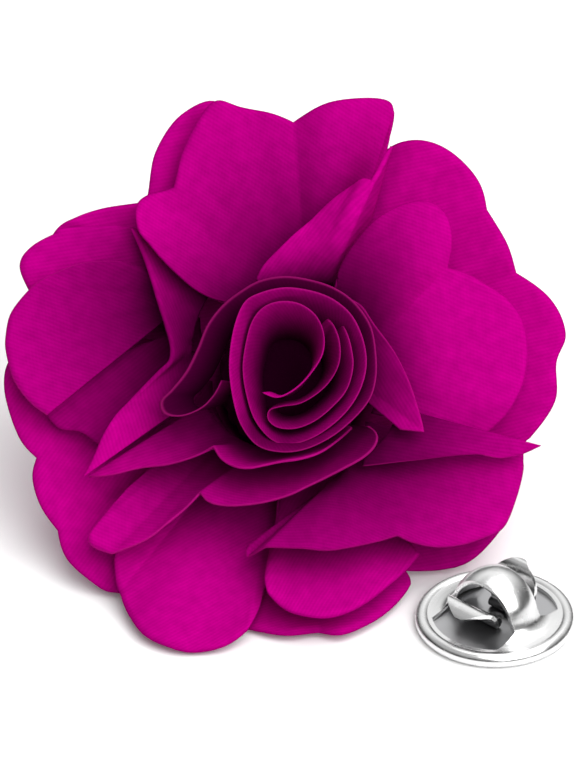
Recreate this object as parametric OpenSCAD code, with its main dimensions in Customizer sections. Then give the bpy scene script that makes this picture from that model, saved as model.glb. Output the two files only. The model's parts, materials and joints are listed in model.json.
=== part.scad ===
// Flower lapel pin: folded cloth petals round a rolled rosette, a pin post behind,
// and its round clutch with two squeeze levers standing beside it. All sizes in mm.

/* [View] */
// which piece to draw

/* [Cloth] */
// thickness of one petal layer
cloth = 1; // [0.8:0.05:1.5]
// most that a steep layer is thickened up and down, as a multiple of the thickness
steep_limit = 1.6; // [1:0.1:2]
// thickness of the rolled strip in the rosette
strip = 0.3; // [0.2:0.05:0.5]

/* [Lie] */
// how far the flower leans back from upright facing up, in degrees
lean = 43.5; // [20:0.5:60]
// sideways place of the flower's axis
flower_x = 0.23; // [-10:0.01:10]
// front to back place of the flower's axis
flower_y = 6.05; // [-10:0.01:15]

/* [Pin post] */
// length of the post from the middle of the pad to its tip
post_length = 11.35; // [8:0.05:14]
// thickness across the post
post_diameter = 1; // [0.8:0.05:1.4]
// thickness across the flat pad that holds the cloth
pad_diameter = 9; // [6:0.5:14]
// thickness of the pad
pad_thickness = 0.7; // [0.4:0.1:1.5]
// length of the sharpened end
point_length = 1.6; // [0.5:0.1:3]
// thickness across the blunt tip
tip_diameter = 0.2; // [0.1:0.05:0.5]

/* [Rosette] */
// height of the foot of the outer turns above the flower's middle
outer_foot = 9.5; // [8:0.1:11]
// height of the foot of the inner turns above the flower's middle
inner_foot = 7; // [6:0.1:10]
// width of the foot of the outer turns as a share of the width of the rim
outer_taper = 0.75; // [0.6:0.01:1]
// width of the foot of the inner turns as a share of the width of the rim
inner_taper = 0.62; // [0.6:0.01:1]
// how late the strip flares, 1 is a straight wall
rosette_flare = 1.6; // [1:0.1:3]
// sideways place of the middle of the rosette
rosette_x = 0.1; // [-2:0.1:2]
// up and down place of the middle of the rosette
rosette_y = -0.5; // [-2:0.1:2]

/* [Clutch] */
// width across the clutch
clutch_diameter = 12; // [10:0.1:13]
// thickness of the clutch's sheet metal
sheet = 0.3; // [0.2:0.05:0.5]
// height of the dome
dome_height = 4.8; // [4:0.05:6]
// width across the hole for the post
post_hole = 1.3; // [1.1:0.05:1.6]
// width of each window in the dome
window_width = 6.4; // [5:0.1:7]
// how far out each window reaches
window_reach = 4.75; // [4.2:0.05:4.9]
// half the width of the bridge between the windows
bridge_half = 1.45; // [1:0.05:2]
// radius of the rolled inner end of each squeeze lever
curl_radius = 0.4; // [0.3:0.05:0.45]
// length of that rolled end
curl_length = 2.4; // [1:0.1:3]
// sideways place of the clutch from the flower's axis
clutch_x = 15.2; // [10:0.1:30]
// how far the clutch stands in front of the flower's axis
clutch_y = -18.6; // [-30:0.1:-10]
// turn of the line through the two windows, in degrees
clutch_turn = 49; // [-90:1:90]

/* [Hidden] */
// ribs worked out between two rows of a table
ribs = 2;
// steps along each rib of a petal
steps = 3;
// steps up the rolled strip
rise_steps = 2;
// height of the flower's middle above the floor
flower_z = post_length * cos(lean) + tip_diameter / 2 * sin(lean);
// play between clutch parts
play = 0.05;
// radius of the rolled rim, and where its middle lies
rim_r = 0.56;
rim_at = clutch_diameter / 2 - rim_r;
// thickness of the metal rolled under the plate, and how far it reaches in
lip = 0.32;
lip_reach = 0.4;
// height of the middle of the windows' round outline, and of their lowest edge
window_middle = 1.35;
window_foot = 0.7;
// height of the line about which the levers turn, and its distance from the clutch's middle
pivot_z = 1.13;
pivot_out = 1;
// distance from the rosette's middle at which a turn counts as inner, and as outer
inner_reach = 5.2;
outer_reach = 6.8;

$fn = 64;

// Petals. The first two rows are the ends of the line where the petal is gathered:
// turn in degrees from the right hand side, reach from the axis, rise.
// Then a row for each scallop, fold and notch of the free edge, going anticlockwise:
// across, up, rise, belly (how far the middle of the rib bulges), crease (1 is sharp).

back_root = [[0, 4, 1], [360, 4, 1]];
back_edge = [
    [17.9, -4.3, 3.6, 0, 1], [19.8, -1.6, 4.4, 0.3, 0], [19.9, 1.3, 4.6, 0.4, 0],
    [20.6, 3.5, 4.8, 0.4, 0], [19.5, 6.1, 4.8, 0.3, 0], [16.9, 8.3, 4.2, 0, 1],
    [16.2, 10.4, 4.8, 0.3, 0], [14.7, 13.1, 4.5, 0.1, 1], [14.0, 15.3, 5, 0.3, 0],
    [11.9, 17.5, 5.2, 0.4, 0], [9.6, 18.3, 5.2, 0.4, 0], [7.5, 18.0, 4.3, 0.1, 0],
    [6.0, 16.4, 3.3, 0, 1], [2.9, 19.2, 4.2, 0.3, 0], [-0.9, 18.9, 4, 0.3, 0],
    [-3.9, 17.8, 3.8, 0, 1], [-5.6, 21.3, 4.8, 0.2, 0], [-8.4, 20.3, 5, 0.4, 0],
    [-10.3, 17.4, 5, 0.4, 0], [-10.9, 14.2, 4.6, 0.2, 0], [-11.4, 13.7, 4.2, 0, 1],
    [-14.4, 13.2, 4.4, 0.2, 0], [-16.3, 12.5, 4.4, 0.3, 0], [-17.8, 11.6, 4.2, 0.2, 0],
    [-18.9, 9.2, 3.6, -0.1, 1], [-19.7, 4.7, 3.7, -0.1, 0], [-19.3, 0.2, 3.4, -0.2, 0],
    [-18.2, -3.6, 3, -0.3, 1], [-17.4, -8.2, 3.1, -0.3, 0], [-15.6, -12.1, 3.3, -0.3, 0],
    [-11.8, -14.0, 3.3, -0.4, 1], [-8.4, -17.2, 5.6, -0.5, 0], [-5.0, -18.5, 6.9, -0.7, 0],
    [-3.3, -19.8, 8, -1, 1], [-0.5, -20.5, 9, -1, 0], [2.0, -20.2, 8.8, -1, 0.6],
    [4.0, -20.4, 9, -1, 0], [7.0, -18.5, 7.4, -0.8, 0], [8.9, -15.9, 5.2, -0.4, 0.4],
    [8.3, -14.5, 3.9, -0.2, 1], [11.1, -14.4, 3.5, 0, 0], [13.4, -13.7, 3.5, 0.1, 0],
    [15.6, -11.5, 3.7, 0.2, 0], [16.8, -9.1, 3.9, 0.2, 0], [17.4, -6.8, 4, 0.2, 0],
    [17.3, -5.1, 3.6, 0, 0]
];

left_upper_root = [[145, 8.5, 3.5], [162, 6.5, 3.2]];
left_upper_edge = [
    [-11.6, 11.4, 5, 0.2, 0.6], [-12.6, 11.6, 5.5, 0.3, 0], [-14.4, 11.6, 5.7, 0.4, 0],
    [-17.3, 11.4, 5.6, 0.4, 0], [-17.8, 11.0, 5.6, 0.3, 1], [-19.7, 9.9, 5.8, 0.4, 0],
    [-20.5, 8.5, 5.8, 0.4, 0], [-19.8, 6.6, 5.5, 0.2, 0.5], [-18.9, 5.2, 5.2, 0.2, 0]
];

left_lower_root = [[178, 6, 2.9], [232, 6, 2.7]];
left_lower_edge = [
    [-20.9, 2.1, 5.1, 0.1, 0], [-21.6, 0.4, 5.2, 0.2, 0], [-21.5, -1.7, 5.2, 0.2, 0],
    [-20.5, -4.6, 5.1, 0.2, 0], [-19.2, -6.1, 4.9, 0.1, 1], [-19.5, -7.7, 5.1, 0.2, 0],
    [-18.9, -9.8, 5.1, 0.1, 0], [-17.6, -11.6, 4.7, -0.5, 1], [-16.8, -14.0, 5, 0, 0],
    [-14.4, -16.1, 5.1, 0.2, 0], [-12.9, -16.5, 5.1, 0.1, 0]
];

left_tuck_root = [[152, 8.5, 5], [196, 8, 5.2]];
left_tuck_edge = [
    [-16.1, 0.6, 5.9, 0, 0], [-18.4, -3.1, 6.1, 0, 1], [-17.4, -4.1, 6.1, 0, 0],
    [-15.9, -4.4, 6.3, 0, 0], [-14.6, -5.3, 6.3, 0, 0], [-13.3, -6.2, 6.2, 0, 0]
];

left_root = [[139, 11.3, 5.6], [154, 10.2, 6.2]];
left_edge = [
    [-12.8, 8.5, 7, 0.2, 0], [-14.4, 8.5, 7.2, 0.4, 0], [-16.3, 8.2, 7.3, 0.4, 0],
    [-18.6, 7.2, 7.2, 0.4, 0], [-19.8, 6.3, 7.1, 0.3, 0.6], [-21.1, 4.6, 7.2, 0.4, 0],
    [-21.5, 2.9, 7.2, 0.4, 0], [-21.5, 1.6, 7.1, 0.3, 0], [-20.9, -0.6, 7.2, 0.3, 0],
    [-19.7, -2.3, 7.3, 0.2, 0], [-18.4, -3.4, 7.5, 0.2, 0]
];

bottom_left_root = [[218, 6, 4.4], [268, 6, 2.9]];
bottom_left_edge = [
    [-12.9, -12.8, 6.1, 0, 0], [-13.3, -13.9, 6.3, 0, 0], [-13.2, -15.8, 6.4, 0.1, 0],
    [-12.9, -16.8, 6.6, 0, 1], [-12.3, -18.6, 7.8, 0, 0], [-11.1, -20.5, 9.2, -0.2, 0],
    [-9.2, -21.6, 10, -0.4, 0], [-7.3, -22.0, 10.1, -0.4, 0], [-5.0, -21.5, 9.9, -0.4, 0],
    [-3.3, -20.2, 9.8, -0.5, 1], [-2.3, -17.7, 8, -0.5, 0], [-2.0, -14.2, 6, -0.2, 0]
];

bottom_root = [[262, 6.2, 4.4], [300, 6.2, 4.2]];
bottom_edge = [
    [-1.1, -11.2, 6.6, 0, 0], [-1.5, -13.3, 7.3, 0, 0], [-2.0, -16.0, 9, -0.1, 0],
    [-1.8, -17.5, 10.1, -0.3, 0.6], [-0.2, -19.0, 10.6, -0.4, 0], [2.1, -19.5, 10.6, -0.4, 0],
    [4.0, -19.1, 10.3, -0.4, 0], [6.0, -17.8, 9.4, -0.3, 0], [8.1, -15.7, 7.6, -0.2, 0],
    [9.6, -13.9, 6.6, 0, 0]
];

bottom_right_root = [[289, 9, 7.9], [328, 6.5, 5.4]];
bottom_right_edge = [
    [-4.1, -14.3, 9.6, 0.3, 1], [-3.6, -14.7, 9.4, 0, 0], [-3.1, -14.5, 9.4, -0.3, 0],
    [-2.0, -14.2, 11, 0.3, 1], [0.6, -14.4, 11.6, 0.6, 0], [2.5, -14.6, 11.7, 0.6, 0],
    [4.4, -14.3, 11.4, 0.6, 0], [6.6, -13.6, 10.5, 0.4, 0], [7.9, -13.1, 9.8, 0.2, 0.7],
    [9.0, -13.5, 9.4, 0.3, 0], [10.8, -13.7, 8.6, 0.4, 0], [12.6, -13.4, 7.8, 0.4, 0],
    [14.4, -12.7, 7, 0.3, 0], [15.9, -11.7, 6.4, 0.2, 0], [16.8, -9.6, 6, 0.1, 0],
    [17.3, -7.6, 5.8, 0, 0], [17.4, -5.8, 5.5, 0, 0]
];

top_root = [[58, 6, 3.2], [128, 6.6, 7.9]];
top_edge = [
    [5.7, 14.1, 4.9, 0, 0], [7.1, 17.4, 5.5, 0, 0], [7.7, 20.3, 5.7, 0.1, 0.7],
    [7.1, 21.2, 6.2, 0.4, 0], [5.0, 21.0, 7.6, 0.9, 0], [2.5, 20.5, 7.9, 0.9, 0],
    [0.1, 19.3, 6.9, 0.5, 1], [-1.7, 20.0, 7, 0.5, 0], [-3.9, 20.5, 6.9, 0.4, 0],
    [-5.6, 21.0, 6.8, 0.4, 0], [-6.7, 20.1, 6.6, 0.3, 0.6], [-8.2, 17.3, 6.3, 0.2, 0],
    [-8.9, 14.4, 6.2, 0.1, 0.7], [-10.7, 13.9, 6.3, 0.1, 0.5], [-11.7, 12.9, 6.8, 0.2, 0],
    [-11.6, 10.9, 7.9, 0.1, 0], [-10.7, 9.5, 8.7, 0, 0], [-9.3, 7.8, 9.1, -0.1, 0],
    [-7.7, 6.3, 9, -0.2, 0], [-6.3, 5.5, 8.8, -0.2, 0], [-5, 5.1, 8.6, -0.1, 0]
];

right_root = [[-24, 6.5, 4.8], [64, 6.5, 8.2]];
right_edge = [
    [14.1, -4.9, 5.8, 0, 0], [15.3, -3.9, 6.4, 0.2, 0], [16.5, -2.6, 6.8, 0.3, 0],
    [17.4, -0.7, 7.1, 0.5, 0], [17.7, 1.7, 7.3, 0.6, 0], [17.3, 4.0, 7.3, 0.6, 0],
    [16.0, 5.8, 7.2, 0.5, 0.6], [14.5, 6.8, 7.2, 0.4, 0], [13.0, 7.6, 7.2, 0.3, 0],
    [11.7, 8.0, 7.4, 0.2, 0.8], [12.0, 9.4, 8, 0.5, 0], [11.9, 11.0, 8.5, 0.8, 0],
    [11.1, 12.3, 8.9, 0.9, 0], [9.6, 12.7, 9.3, 1, 0], [7.7, 12.1, 9.6, 0.9, 0],
    [5.9, 10.8, 9.7, 0.8, 0], [4.4, 8.9, 9.6, 0.6, 0], [3.6, 7.4, 9.4, 0.4, 0],
    [3.3, 6.0, 9.2, 0.2, 0]
];

spike_root = [[-52, 8.8, 8.8], [-20, 8.6, 7.9]];
spike_edge = [
    [5.3, -7.5, 9.2, 0, 0], [6.6, -7.4, 9.5, 0.1, 0], [8.1, -7.2, 9.5, 0.3, 0],
    [11.1, -6.7, 8.9, 0.4, 0], [13.8, -6.4, 8.2, 0.3, 0], [15.6, -6.6, 7.6, 0.2, 0],
    [17.4, -6.2, 7, 0.1, 0.4], [18.7, -5.6, 6.9, 0, 1]
];

leaf_root = [[138, 8.5, 7.3], [195, 7, 8.3]];
leaf_edge = [
    [-12.0, 11.1, 6.6, -0.1, 1], [-11.2, 9.4, 7.3, 0, 0], [-10.5, 7.3, 8.1, -0.1, 0],
    [-9.9, 5.2, 8.8, -0.2, 0], [-9.3, 3.2, 9.3, -0.2, 0], [-8.9, 1.6, 9.5, -0.2, 0],
    [-9.0, 0.3, 9.4, 0, 0], [-9.9, -0.6, 9.2, 0, 0], [-11.4, -2.0, 9, 0.2, 0],
    [-12.9, -3.4, 8.9, 0.3, 0], [-13.8, -4.8, 8.9, 0.3, 0], [-14.7, -6.7, 8.6, 0.3, 0],
    [-15.5, -8.2, 8.4, 0, 1]
];

front_root = [[206, 6.5, 6], [318, 5.8, 6.1]];
front_edge = [
    [-12.3, -8.7, 6.3, 0, 0], [-14.1, -10.9, 6.7, 0, 0], [-15.3, -12.9, 7, 0.1, 0],
    [-13.5, -14.0, 7.6, 0.1, 1], [-11.1, -13.2, 8.4, 0.3, 0], [-9.5, -12.1, 9, 0.4, 0],
    [-8.0, -10.9, 9.5, 0.4, 0], [-6.9, -9.8, 9.8, 0.3, 1], [-6.2, -10.6, 10.2, 0.4, 0],
    [-5.0, -10.9, 10.4, 0.5, 0], [-3.5, -10.9, 10.6, 0.5, 0], [-2.0, -10.7, 10.7, 0.5, 0],
    [-0.2, -10.2, 10.8, 0.4, 0], [1.4, -9.4, 10.8, 0.3, 0], [4.0, -8.1, 10.8, 0.2, 0],
    [5.3, -7.3, 10.8, 0.1, 0.5], [6.2, -6.2, 10.8, 0.1, 0], [6.4, -5.2, 10.8, 0, 0]
];

collar_lower_root = [[200, 7, 7.2], [312, 5.6, 8.3]];
collar_lower_edge = [
    [-15.3, -8.0, 7.1, 0, 1], [-13.7, -8.0, 7.6, 0.1, 0], [-11.4, -7.6, 8.4, 0.2, 0],
    [-9.2, -7.5, 9.2, 0.2, 0], [-6.9, -6.9, 10.2, 0.2, 0], [-5.9, -6.5, 10.9, 0.1, 0.7],
    [-5.3, -7.5, 11.3, 0.1, 0], [-4.3, -8.2, 11.8, 0.1, 0], [-3.2, -8.4, 12.2, 0.1, 0],
    [-2.0, -8.2, 12.4, 0.1, 0], [-0.9, -8.0, 12.5, 0.1, 0], [0.6, -7.8, 12.5, 0.1, 0],
    [2.1, -7.3, 12.4, 0, 0], [3.9, -6.2, 12.2, 0, 0]
];

collar_right_root = [[-20, 5, 8.3], [46, 5, 8.6]];
collar_right_edge = [
    [8.1, -4.9, 9.6, 0, 0], [9.9, -5.1, 9.6, 0.1, 1], [9.5, -3.5, 9.9, 0.2, 0],
    [8.7, -1.2, 10.2, 0.2, 0], [7.7, 0.9, 10.2, 0.2, 0], [6.2, 3.0, 10, 0.1, 0],
    [5.3, 4.4, 9.9, 0, 0], [4.5, 5.0, 9.8, 0, 0]
];

top_fold_root = [[55, 7.6, 6.6], [114, 6, 8.1]];
top_fold_edge = [
    [7.5, 17.2, 7.6, 0.2, 1], [6.9, 15.5, 9.2, 0.5, 0], [6.1, 13.7, 10.6, 0.9, 1],
    [5.3, 14.0, 10.6, 1.1, 0], [4.4, 13.6, 9.8, 0.9, 0], [2.9, 12.6, 9.2, 0.6, 0],
    [1.4, 11.2, 8.9, 0.4, 0], [-0.2, 9.7, 8.8, 0.2, 0], [-1.7, 8.1, 8.9, 0.1, 0],
    [-2.6, 6.7, 9, 0, 0]
];

// Rosette. The way the rim of the rolled strip winds, from its heart outwards:
// across, up, rise.
coil_rim = [
    [-2.3, -2.5, 11.6], [-1.1, -2.9, 11.7], [0.2, -2.3, 11.8], [1.4, -1.1, 11.9],
    [2.3, 0.4, 12.0], [2.4, 1.9, 12.1], [1.8, 3.3, 12.1], [0.6, 4.2, 12.1],
    [-0.8, 4.4, 12.1], [-2.1, 4.0, 12.0], [-3.0, 2.9, 11.9], [-3.5, 1.1, 11.8],
    [-3.7, -0.8, 11.7], [-3.4, -2.8, 11.6], [-2.8, -4.6, 11.6], [-1.7, -6.0, 11.6],
    [-0.5, -6.5, 11.6], [1.1, -6.2, 11.7], [2.7, -5.3, 11.8], [4.2, -3.9, 11.9],
    [5.2, -2.2, 12.0], [5.6, -0.3, 12.0], [5.3, 1.6, 12.1], [4.5, 3.3, 12.1],
    [3.3, 4.4, 12.2], [2.0, 5.0, 12.3], [0.5, 5.3, 12.5], [-0.8, 5.3, 12.7],
    [-2.3, 4.9, 12.9], [-3.5, 4.2, 13.0], [-4.2, 2.7, 13.1], [-4.6, 0.8, 13.1],
    [-4.7, -1.2, 13.0], [-4.4, -3.4, 12.9], [-3.8, -5.3, 12.8], [-2.6, -6.8, 12.7],
    [-0.9, -7.3, 12.7], [0.9, -7.1, 12.6], [2.8, -6.2, 12.5], [4.5, -4.8, 12.3],
    [5.8, -3.2, 12.2], [6.3, -1.5, 12.0], [6.3, 0.5, 11.9], [5.9, 2.6, 11.8],
    [4.7, 4.4, 11.7], [3.2, 5.5, 11.7], [1.5, 6.1, 11.7], [-0.5, 6.4, 11.7],
    [-2.4, 6.1, 11.6], [-3.9, 5.3, 11.4], [-5.3, 4.2, 11.2], [-6.4, 2.7, 11.2],
    [-7.1, 1.0, 11.1], [-8.0, -0.8, 11.0], [-9.1, -2.2, 11.0], [-9.9, -3.1, 11.0],
    [-9.6, -4.0, 11.0], [-8.4, -4.2, 11.0], [-6.9, -3.6, 11.1], [-5.9, -2.6, 11.2],
    [-5.3, -1.5, 11.3]
];
heart_rim = [
    [2.3, 3.9, 11.6], [3.1, 2.8, 11.6], [3.6, 1.3, 11.6], [3.5, -0.4, 11.5],
    [2.5, -2.0, 11.4], [0.8, -3.2, 11.3], [-0.8, -3.5, 11.2], [-1.7, -3.8, 11.2],
    [-1.8, -4.5, 11.2], [-1.1, -5.1, 11.2], [0.2, -5.2, 11.2], [1.6, -4.7, 11.3],
    [2.9, -3.7, 11.4], [4.1, -2.3, 11.5], [4.6, -0.5, 11.6], [4.4, 1.2, 11.7],
    [3.95, 2.55, 11.7], [3.45, 3.35, 11.7]
];

// Sewn core under the rosette. Half section from the middle of its underside round to the
// bottom of its sunk top: out, height.
core_line = [
    [0, 1.8], [3.8, 1.8], [5.3, 2.4], [5.3, 7], [4.65, 7.4], [4.4, 7.4], [4.3, 6],
    [2.1, 5.3], [0, 5]
];

// Clutch. Outline of the stamped cover from the dish up: out, height.
cover_line = [
    [5.2, 1.1], [4.85, 1.04], [4.5, 1.03], [4, 1.12], [3.6, 1.4], [3.35, 1.85], [3.15, 2.4],
    [2.9, 3], [2.5, 3.6], [2, 4.1], [1.4, 4.48], [0.7, 4.73], [0, 4.8]
];
// Side line of each squeeze lever from its pivot outwards: out, height, half width.
lever_left_line = [
    [1, 1.13, 1.2], [1.5, 1.2, 1.6], [1.95, 1.7, 1.95], [2.3, 2.35, 2.1], [2.65, 2.9, 2.1],
    [3.1, 3.2, 2.05], [3.6, 3.2, 1.75], [4, 3, 1.3], [4.25, 2.75, 0.8]
];
lever_right_line = [
    [1, 1.13, 1.2], [1.5, 1.2, 1.6], [1.9, 1.7, 1.95], [2.15, 2.4, 2.1], [2.35, 3.1, 2],
    [2.55, 3.7, 1.65], [2.85, 4.1, 1.15], [3.25, 4.1, 0.6]
];

// row i of a table, running on round a closed one
function row(t, i, shut) =
    shut ? t[(i + len(t)) % len(t)] : t[max(0, min(len(t) - 1, i))];

// direction of the edge at row i
function run_at(t, i, shut) =
    (row(t, i + 1, shut) - row(t, i - 1, shut))
    / (shut || (i > 0 && i < len(t) - 1) ? 2 : 1);

// value between rows i and i + 1, smooth at a crease of 0 and cornered at 1
function between(t, i, k, shut, crease) =
    let (a = row(t, i, shut), b = row(t, i + 1, shut), d = b - a,
         ca = crease < 0 ? 0 : a[crease], cb = crease < 0 ? 0 : b[crease],
         ma = run_at(t, i, shut), mb = run_at(t, i + 1, shut),
         ra = ma * (1 - ca) + (1.5 * d - 0.5 * mb) * ca,
         rb = mb * (1 - cb) + (1.5 * d - 0.5 * ma) * cb,
         q = k * k, c = q * k)
    (2 * c - 3 * q + 1) * a + (c - 2 * q + k) * ra + (3 * q - 2 * c) * b + (c - q) * rb;

// the whole edge with extra ribs worked out between the rows
function edge(t, shut = false, crease = -1) = [
    for (i = [0 : len(t) - (shut ? 1 : 2)]) for (k = [0 : ribs - 1])
        between(t, i, k / ribs, shut, crease),
    if (!shut) t[len(t) - 1]
];

// point of the gathered line for a share of its length
function gather(root, share) =
    let (g = root[0] + (root[1] - root[0]) * share)
    [g[1] * cos(g[0]), g[1] * sin(g[0]), g[2]];

// point a share of the way along the rib from p to the edge point e
function rib(p, e, share) =
    [p[0] + (e[0] - p[0]) * share, p[1] + (e[1] - p[1]) * share,
     p[2] + (e[2] - p[2]) * share + e[3] * 4 * share * (1 - share)];

// up and down thickness of a layer whose rib rises like p to e
function thickness(p, e) =
    let (flat = norm([e[0] - p[0], e[1] - p[1]]), s = abs(e[2] - p[2]) / max(flat, 0.1))
    cloth * min(steep_limit, sqrt(1 + s * s));

// faces of a skin with an upper and a lower side, n ribs of m + 1 points
function skin_faces(n, m, shut) =
    let (last = shut ? n - 1 : n - 2)
    [
        for (i = [0 : last]) let (h = (i + 1) % n) for (j = [0 : m - 1])
            let (a = (i * (m + 1) + j) * 2, b = (h * (m + 1) + j) * 2)
            each [[a, b + 2, a + 2], [a, b, b + 2], [a + 1, a + 3, b + 3], [a + 1, b + 3, b + 1]],
        for (i = [0 : last]) let (h = (i + 1) % n, a = (i * (m + 1) + m) * 2,
                                  b = (h * (m + 1) + m) * 2)
            each [[a, b, b + 1], [a, b + 1, a + 1]],
        if (!shut) for (i = [0 : last])
            let (a = i * (m + 1) * 2, b = (i + 1) * (m + 1) * 2)
            each [[a, b + 1, b], [a, a + 1, b + 1]],
        if (!shut) for (j = [0 : m - 1]) let (a = j * 2, b = ((n - 1) * (m + 1) + j) * 2)
            each [[a, a + 2, a + 3], [a, a + 3, a + 1], [b, b + 3, b + 2], [b, b + 1, b + 3]],
        if (shut) for (i = [0 : last]) let (h = (i + 1) % n, a = i * (m + 1) * 2,
                                            b = h * (m + 1) * 2, mid = n * (m + 1) * 2)
            each [[mid, b, a], [mid + 1, a + 1, b + 1]]
    ];

// a petal between its gathered line and its free edge
module petal(root, table) {
    rim = edge(table, false, 4);
    n = len(rim);
    points = [
        for (i = [0 : n - 1]) let (p = gather(root, i / (n - 1)), h = thickness(p, rim[i]) / 2)
            for (j = [0 : steps]) let (q = rib(p, rim[i], j / steps))
                each [q + [0, 0, h], q - [0, 0, h]]
    ];
    polyhedron(points, skin_faces(n, steps, false));
}

// a whole disc of cloth closed at its middle
module disc(root, table) {
    rim = edge(table, true, 4);
    n = len(rim);
    reach = root[0][1];
    rise = root[0][2];
    points = [
        for (i = [0 : n - 1])
            let (turn = atan2(rim[i][1], rim[i][0]),
                 p = [reach * cos(turn), reach * sin(turn), rise],
                 h = thickness(p, rim[i]) / 2)
            for (j = [0 : steps]) let (q = rib(p, rim[i], j / steps))
                each [q + [0, 0, h], q - [0, 0, h]],
        [0, 0, rise + cloth / 2], [0, 0, rise - cloth / 2]
    ];
    polyhedron(points, skin_faces(n, steps, true));
}

// 0 for an inner turn of the rosette, 1 for an outer one, and smooth between
function outwards(e) =
    let (reach = norm([e[0] - rosette_x, e[1] - rosette_y]),
         k = max(0, min(1, (reach - inner_reach) / (outer_reach - inner_reach))))
    k * k * (3 - 2 * k);

// a strip standing on edge that flares from its foot to its rim
module standing_strip(table) {
    rim = edge(table);
    n = len(rim);
    middle = [rosette_x, rosette_y];
    points = [
        for (i = [0 : n - 1])
            let (e = rim[i], d = rim[min(i + 1, n - 1)] - rim[max(i - 1, 0)],
                 side = [-d[1], d[0], 0] / norm([d[0], d[1]]) * strip / 2,
                 foot = inner_foot + (outer_foot - inner_foot) * outwards(e),
                 taper = inner_taper + (outer_taper - inner_taper) * outwards(e))
            for (j = [0 : rise_steps])
                let (k = j / rise_steps, w = taper + (1 - taper) * pow(k, rosette_flare),
                     q = [middle[0] + (e[0] - middle[0]) * w, middle[1] + (e[1] - middle[1]) * w,
                          foot + (e[2] - foot) * k])
                each [q + side, q - side]
    ];
    polyhedron(points, skin_faces(n, rise_steps, false));
}

// sets flower pieces down as they lie on the floor
module lying() {
    translate([flower_x, flower_y, flower_z]) rotate([lean, 0, 0]) children();
}

// sets clutch pieces down beside the flower
module standing() {
    translate([flower_x + clutch_x, flower_y + clutch_y, 0]) rotate([0, 0, clutch_turn])
        children();
}

module petal_back() { color("#a8007c") lying() disc(back_root, back_edge); }
module petal_left_upper() { color("#b00082") lying() petal(left_upper_root, left_upper_edge); }
module petal_left_lower() { color("#b80088") lying() petal(left_lower_root, left_lower_edge); }
module petal_left_tuck() { color("#8c0068") lying() petal(left_tuck_root, left_tuck_edge); }
module petal_left() { color("#c00090") lying() petal(left_root, left_edge); }
module petal_bottom_left() { color("#b80088") lying() petal(bottom_left_root, bottom_left_edge); }
module petal_bottom() { color("#b00082") lying() petal(bottom_root, bottom_edge); }
module petal_bottom_right() {
    color("#c00090") lying() petal(bottom_right_root, bottom_right_edge);
}
module petal_top() { color("#b80088") lying() petal(top_root, top_edge); }
module petal_right() { color("#c00090") lying() petal(right_root, right_edge); }
module petal_spike() { color("#b80088") lying() petal(spike_root, spike_edge); }
module petal_leaf() { color("#c80096") lying() petal(leaf_root, leaf_edge); }
module petal_front() { color("#b80088") lying() petal(front_root, front_edge); }
module petal_collar_lower() {
    color("#a8007c") lying() petal(collar_lower_root, collar_lower_edge);
}
module petal_collar_right() {
    color("#b80088") lying() petal(collar_right_root, collar_right_edge);
}
module petal_top_fold() { color("#c80096") lying() petal(top_fold_root, top_fold_edge); }

// bundle of the petals' inner ends, sewn together: a plain round core with a sunk top
module sewn_core() { color("#6e0050") lying() rotate_extrude() polygon(core_line); }

module rosette_coil() { color("#b00082") lying() standing_strip(coil_rim); }
module rosette_heart() { color("#a8007c") lying() standing_strip(heart_rim); }

// pad and post in one turned piece, tip down
module pin_post() {
    color("#c9c9cc") lying() rotate_extrude() polygon([
        [0, pad_thickness / 2], [pad_diameter / 2, pad_thickness / 2],
        [pad_diameter / 2, -pad_thickness / 2], [post_diameter / 2, -pad_thickness / 2],
        [post_diameter / 2, point_length - post_length],
        [tip_diameter / 2, -post_length], [0, -post_length]
    ]);
}

// a line moved sideways, to the left of the way it runs
function beside(t, gap) = [
    for (i = [0 : len(t) - 1]) let (d = t[min(i + 1, len(t) - 1)] - t[max(i - 1, 0)])
        t[i] + [-d[1], d[0]] / norm(d) * gap
];

// half section of the cover: dome, dish and the rim rolled round the plate
function cover_section() =
    let (k = dome_height / cover_line[len(cover_line) - 1][1],
         outer = [for (p = cover_line) [p[0], p[1] * (p[1] > 2 * rim_r ? k : 1)]],
         bead = [for (a = [110 : -25 : -90]) [rim_at + rim_r * cos(a), rim_r + rim_r * sin(a)]],
         hollow = [for (a = [-90 : 45 : 90])
             [rim_at + (rim_r - lip) * cos(a), rim_r + (rim_r - lip) * sin(a)]])
    concat(
        [for (i = [len(outer) - 1 : -1 : 0]) outer[i]], bead,
        [[rim_at - lip_reach, 0], [rim_at - lip_reach, lip]], hollow,
        [for (p = beside(outer, sheet)) [max(0, p[0]), p[1]]]
    );

module window(side) {
    intersection() {
        translate([side * bridge_half, 0, window_middle]) rotate([0, side * 90, 0])
            cylinder(d = window_width, h = clutch_diameter);
        translate([0, 0, window_foot]) cylinder(r = window_reach, h = clutch_diameter);
    }
}

module clutch_cover() {
    color("#d6d6d9") standing() difference() {
        rotate_extrude() polygon(cover_section());
        window(1);
        window(-1);
    }
}

module clutch_plate() {
    color("#c9c9cc") standing() translate([0, 0, lip + play]) difference() {
        cylinder(r = rim_at - play, h = sheet);
        translate([0, 0, -1]) cylinder(d = post_hole, h = 2);
    }
}

// a bent tongue of sheet metal along its side line, with its inner end rolled up
module lever(t) {
    n = len(t);
    line = [for (p = t) [p[0], p[1]]];
    upper = beside(line, sheet / 2);
    lower = beside(line, -sheet / 2);
    points = [
        for (way = [-1, 1]) for (i = [0 : n - 1])
            each [[upper[i][0], way * t[i][2], upper[i][1]], [lower[i][0], way * t[i][2], lower[i][1]]]
    ];
    polyhedron(points, skin_faces(2, n - 1, false));
    translate([pivot_out, 0, pivot_z]) rotate([90, 0, 0])
        cylinder(r = curl_radius, h = curl_length, center = true);
}

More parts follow.
